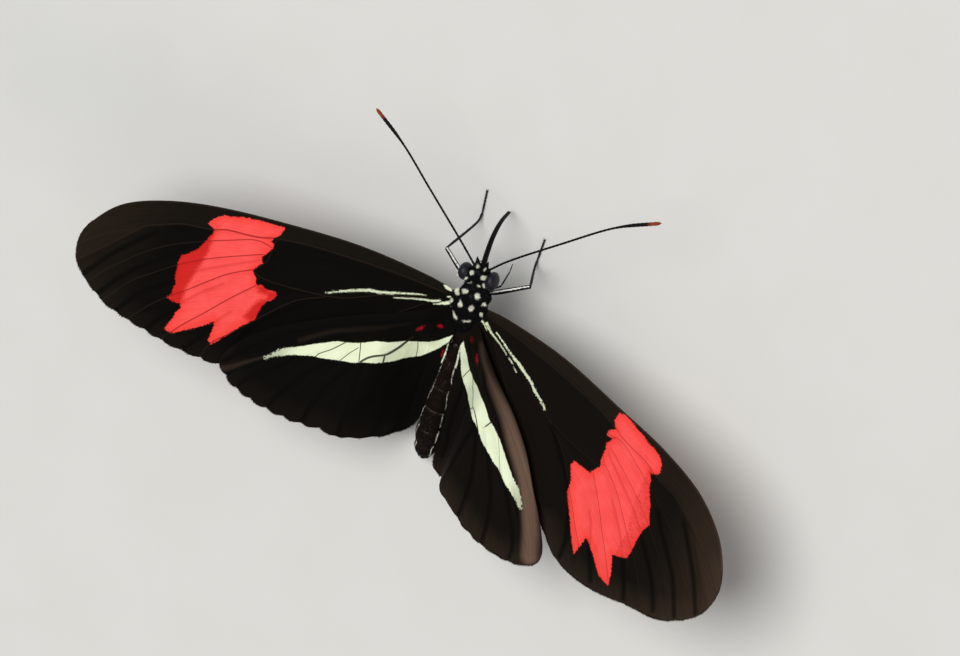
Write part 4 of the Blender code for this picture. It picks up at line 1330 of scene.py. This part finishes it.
# %% Feelers
FEELER_PATH = {
    "left": [(0.55, -4.4, 1.6), (3.0, -6.27, 2.2), (7.6, -9.45, 3.0), (11.6, -12.08, 3.42),
             (15.54, -13.95, 3.6)],
    "right": [(-0.55, -4.55, 1.6), (-2.53, -6.95, 2.2), (-6.6, -11.05, 2.55), (-10.7, -15.0, 2.6),
              (-14.65, -17.64, 2.4)],
}
FEELER_RINGS = 45
FEELER_HALF = 0.11
CLUB_HALF = 0.19


def feeler_half(share):
    pinch = 1.0 - 0.16 * abs(math.cos(math.pi * share * FEELER_RINGS)) ** 6
    stout = 0.09 * math.exp(-(share / 0.018) ** 2)
    club = (CLUB_HALF - FEELER_HALF) * float(smooth((share - 0.74) / 0.14))
    tip = 1.0 - 0.8 * float(smooth((share - 0.975) / 0.025)) ** 2
    half = (FEELER_HALF + stout + club) * pinch * tip
    return half, half


def feeler_skin():
    made, tree, shader = new_material("feeler_rings", 0.6, 0.1)
    fine = object_pattern(tree, "TexNoise", 0.15, Detail=2.0)
    along = add_node(tree, "Attribute", attribute_name="along").node.outputs["Fac"]
    end = add_node(tree, "MapRange", (along, 0.925, 0.95))
    rusty = painted(tree, "#6E2814", (fine, "#A04526"))
    dress(tree, shader, painted(tree, "#030303", (fine, "#0F0D0A"), (end, rusty)), fine, 0.5, 0.02)
    return made


rings = feeler_skin()
for side_name in ("left", "right"):
    data = bmesh.new()
    sweep(data, even_path(FEELER_PATH[side_name], 0.1), feeler_half, 10)
    finished(data, "feeler_" + side_name, rings, "feeler", "antenna_" + side_name)

# %% [markdown]
# The tongue is two half tubes zipped together, so it has a groove down its length. It is bent down
# towards the flower that the photograph shows. The two palps stand beside it in front of the face:
# black points, with cream hairs only at their bases, which the face nearly hides.

# %% Tongue and palps
TONGUE_PATH = [(0.44, -4.45, 0.05), (0.9, -5.65, -0.78), (1.42, -6.8, -2.1), (2.0, -7.7, -4.3),
               (2.5, -8.1, -7.0)]
TONGUE_HALF = 0.16
TONGUE_GAP = 0.12           # from the middle to each half tube
TONGUE_RIB_TURN = 420.0     # about 67 fine ribs along the tongue, in radians
PALP_ROOT = {"left": Vector((0.86, -4.2, 0.35)), "right": Vector((0.1, -4.35, 0.35))}
PALP_TIP = {"left": Vector((1.17, -5.16, 0.72)), "right": Vector((-0.12, -5.24, 0.74))}


def tongue_half(share):
    half = TONGUE_HALF * (1.0 - 0.45 * share) * (1.0 - 0.05 * math.cos(share * 160.0))
    return half, half * 1.25


def tongue_skin():
    made, tree, shader = new_material("tongue_cuticle", 0.55, 0.12)
    along = add_node(tree, "Attribute", attribute_name="along").node.outputs["Fac"]
    rib = add_node(tree, "Math", (along, TONGUE_RIB_TURN), operation="MULTIPLY")
    rib = add_node(tree, "Math", (rib,), operation="SINE")
    fine = object_pattern(tree, "TexNoise", 0.3, Detail=2.0)
    dress(tree, shader, painted(tree, "#040303", (fine, "#130F0C")), rib, 0.35, 0.02)
    return made


data = bmesh.new()
for side in (1.0, -1.0):
    path = even_path(TONGUE_PATH, 0.08)
    frames = path_frames(path, lambda share: (1.0, 1.0))
    half_tube = [
        frame.translation + frame.col[0].xyz * side * TONGUE_GAP * (1.0 - 0.3 * i / len(path))
        for i, frame in enumerate(frames)
    ]
    sweep(data, half_tube, tongue_half, 12)
finished(data, "tongue", tongue_skin(), "tongue", "proboscis")


def palp_half(share):
    half = 0.02 + 0.27 * min(share / 0.2, (1.0 - share) / 0.8, 0.95)
    return half, half * 1.15


def palp_skin():
    made, tree, shader = new_material("palp_scales", 0.7, 0.2)
    fine = object_pattern(tree, "TexNoise", 0.12, Detail=2.0)
    along = add_node(tree, "Attribute", attribute_name="along").node.outputs["Fac"]
    edge = add_node(tree, "Math", (fine, 0.3, along), operation="MULTIPLY_ADD")
    point = add_node(tree, "MapRange", (edge, 0.24, 0.3))
    dress(tree, shader, painted(tree, "#E9E6C4", (point, "#0A0A0A")), fine, 0.7, 0.03)
    return made


palp_scales = palp_skin()
for side_name in ("left", "right"):
    root, tip = PALP_ROOT[side_name], PALP_TIP[side_name]
    bow = (root + tip) / 2.0 + Vector((0.0, -0.03, -0.05))
    data = bmesh.new()
    sweep(data, even_path([root, bow, tip], 0.04), palp_half, 12)
    finished(data, "palp_scaly_" + side_name, palp_scales, "palp", "palp_" + side_name)

# %% [markdown]
# The four walking legs each have a thick thigh, black with a cream stripe on top, a thinner shin
# with spines, a foot of five joints and a pair of claws. The front legs are small brushes, folded
# under the head, as in all butterflies of this family.

# %% Legs
MID_LEG = {
    "left": [(0.7, -1.3, -1.5), (4.82, -3.84, -0.9), (4.95, -5.55, -6.6), (5.1, -6.45, -7.58),
             (5.6, -8.65, -7.66)],
    "right": [(0.54, -1.59, -1.55), (4.42, -4.62, -0.88), (2.3, -4.5, -6.6), (1.9, -5.0, -7.58),
              (1.7, -7.2, -7.66)],
}
HIND_LEG = [(0.7, 1.3, -1.5), (4.0, 6.0, -2.1), (5.5, 9.6, -6.6), (5.85, 10.5, -7.58), (6.7, 12.6, -7.66)]
FORE_LEG = {
    "left": [(0.6, -2.1, -0.9), (1.5, -3.0, -1.5), (1.6, -4.0, -1.9), (1.25, -4.0, -2.9)],
    "right": [(0.6, -2.1, -0.9), (1.55, -3.0, -1.5), (1.6, -4.5, -2.0), (1.2, -5.0, -3.1)],
}
THIGH_HALF = 0.25
SHIN_HALF = 0.13
FOOT_HALF = 0.10
STRIPE_WAY = Vector((-0.28, -0.55, 0.79))   # the cream stripe faces up and a little ahead
SPINES = 22


def run(points, bend=0.0, step=0.07):
    """A straight or slightly bowed run between two joints."""
    a, b = points
    middle = (a + b) / 2.0 + Vector((0.0, 0.0, bend))
    return even_path([a, middle, b], step)


def limb_part(data, path, half, part):
    """Sweeps one part of a leg and marks which part it is and how much it faces the stripe."""
    part_layer = data.verts.layers.float.get("part") or data.verts.layers.float.new("part")
    top_layer = data.verts.layers.float.get("top") or data.verts.layers.float.new("top")
    ahead = (path[-1] - path[0]).normalized()
    up = (STRIPE_WAY - ahead * STRIPE_WAY.dot(ahead)).normalized()
    made = sweep(data, path, half, 10)
    for i, vertex in enumerate(made):
        vertex[part_layer] = part
        vertex[top_layer] = (vertex.co - path[i // 10]).normalized().dot(up)
    return made


def spike(data, root, way, length, half):
    turn = way.to_track_quat("Z", "Y").to_matrix().to_4x4()
    place = Matrix.Translation(root + way * length / 2.0) @ turn
    bmesh.ops.create_cone(
        data, cap_ends=True, segments=5, radius1=half, radius2=half * 0.1, depth=length, matrix=place,
    )


def claws(data, end, ahead):
    side = ahead.cross(Vector((0.0, 0.0, 1.0))).normalized()
    for way in (side, -side):
        spike(data, end, (ahead * 0.7 + way * 0.6 + Vector((0.0, 0.0, 0.1))).normalized(), 0.26, 0.045)


def swelling(thick, thin, peak=0.3):
    """A half-width profile: it swells to a peak and narrows to both joints."""
    def half(share):
        rising = float(smooth(share / peak))
        falling = 1.0 - 0.6 * float(smooth((share - peak) / (1.0 - peak)))
        bulge = rising if share < peak else falling
        wide = thin + (thick - thin) * bulge
        return wide, wide
    return half


def flared(share):
    half = FOOT_HALF * (0.78 + 0.3 * share)
    return half, half


def foot(data, heel, toe):
    """Five joints, the first as long as the rest together, each a little flared at its end."""
    shares = (0.0, 0.42, 0.6, 0.74, 0.86, 1.0)
    for near, far in zip(shares, shares[1:]):
        joint = [heel.lerp(toe, near), heel.lerp(toe, far)]
        limb_part(data, run(joint, 0.0, 0.06), flared, 2.0)


def walking_leg(name, joints, side, node):
    hip, knee, ankle, heel, toe = (Vector((side * x, y, z)) for x, y, z in joints)
    data = bmesh.new()
    limb_part(data, run([hip, knee], 0.15), swelling(THIGH_HALF, 0.16), 0.0)
    limb_part(data, even_path([knee, ankle, heel], 0.07), swelling(SHIN_HALF, 0.10, 0.2), 1.0)
    foot(data, heel, toe)
    claws(data, toe, (toe - heel).normalized())
    for i in range(SPINES):
        root = knee.lerp(ankle, 0.15 + 0.85 * i / SPINES)
        around = Matrix.Rotation(2.4 * i, 3, (ankle - knee).normalized())
        out = around @ (ankle - knee).orthogonal().normalized()
        spike(data, root + out * 0.08, (out * 0.8 + (ankle - knee).normalized()).normalized(), 0.24, 0.022)
    finished(data, name, leg_scales, "leg", node)


def brush_leg(name, joints, side, node):
    points = [Vector((side * x, y, z)) for x, y, z in joints]
    data = bmesh.new()
    limb_part(data, run(points[:2]), swelling(0.12, 0.07), 1.0)
    limb_part(data, run(points[1:3]), swelling(0.08, 0.05), 1.0)
    limb_part(data, run(points[2:]), swelling(0.06, 0.03), 2.0)
    finished(data, name, leg_scales, "leg", node)


def leg_skin():
    made, tree, shader = new_material("leg_scales", 0.65, 0.08)
    fine = object_pattern(tree, "TexNoise", 0.14, Detail=2.0)
    part, top = (add_node(tree, "Attribute", attribute_name=n).node.outputs["Fac"] for n in ("part", "top"))
    thigh = painted(tree, "#030303", (fine, "#0C0C0E"))
    shin = painted(tree, "#101113", (fine, "#34363A"))
    past_knee = add_node(tree, "Math", (part, 0.5), operation="GREATER_THAN")
    edge = add_node(tree, "Math", (fine, 0.3, top), operation="MULTIPLY_ADD")
    stripe = add_node(tree, "MapRange", (edge, 1.03, 1.09))
    on_thigh = add_node(tree, "Math", (part, 0.5), operation="LESS_THAN")
    stripe = add_node(tree, "Math", (stripe, on_thigh), operation="MULTIPLY")
    dress(tree, shader, painted(tree, thigh, (past_knee, shin), (stripe, "#F2F1E6")), fine, 0.6, 0.02)
    return made


leg_scales = leg_skin()
for side_name, side in (("left", 1.0), ("right", -1.0)):
    walking_leg("leg_middle_" + side_name, MID_LEG[side_name], side, "leg_mid_" + side_name)
    walking_leg("leg_rear_" + side_name, HIND_LEG, side, "leg_hind_" + side_name)
    brush_leg("leg_front_" + side_name, FORE_LEG[side_name], side, "leg_fore_" + side_name)

# %% [markdown]
# A row of short scales fringes the outer margin of every wing and the outer part of its inner
# edge. They are slivers again, each one rooted on the wing's own grid and lying outwards.

# %% Fringes
def wing_place(shares, side, hind, sweep_degrees):
    """Points of a wing in the working frame for grid shares, as the wing pieces have them."""
    plan, _, _, _, pivot = wing_parts({1.0: "left", -1.0: "right"}[side], hind)
    flat = coons(plan, shares[:, 0], shares[:, 1])
    moved = settle(flat, pivot, sweep_degrees, hind)
    height = wing_height(moved[:, 0], moved[:, 1], hind)
    return np.stack([side * moved[:, 0], moved[:, 1], height], 1)


MARGIN_SCALES = 640         # fringe scales along a wing's outer margin
INNER_SCALES = 420          # and along the outer part of its inner edge
UNMARKED = {"spot": 9.0, "line": 9.0, "ring": 9.0, "rear": 1.0}


def wing_fringe(name, side_name, hind, sweep_degrees, material):
    side = {"left": 1.0, "right": -1.0}[side_name]
    margin = np.linspace(0.0, 1.0, MARGIN_SCALES)
    inner = np.linspace(1.0, 0.35, INNER_SCALES)
    shares = np.vstack([
        np.stack([np.ones_like(margin), margin], 1),
        np.stack([inner, np.ones_like(inner)], 1),
    ])
    inwards = shares - np.array((0.004, 0.006)) * (shares >= 1.0)
    edge = wing_place(shares, side, hind, sweep_degrees)
    within = wing_place(inwards, side, hind, sweep_degrees)
    count = len(edge)
    lie = unit(edge - within) + random.normal(0.0, 0.12, (count, 3))
    up = np.tile((0.0, 0.0, 1.0), (count, 1))
    lengths = random.uniform(0.2, 0.34, count)
    marks = {mark: np.full(count, value) for mark, value in UNMARKED.items()}
    half_widths, rise = np.full(count, 0.035), np.full(count, 0.0)
    slivers(name, within, up, lie, lengths, half_widths, rise, shares, marks, material, "wing")


for side_name, toward in (("left", 1.0), ("right", -1.0)):
    wing_fringe("fringe_fore_" + side_name, side_name, False, toward, hairs)
    wing_fringe("fringe_hind_" + side_name, side_name, True, -2.0 * toward, hairs)
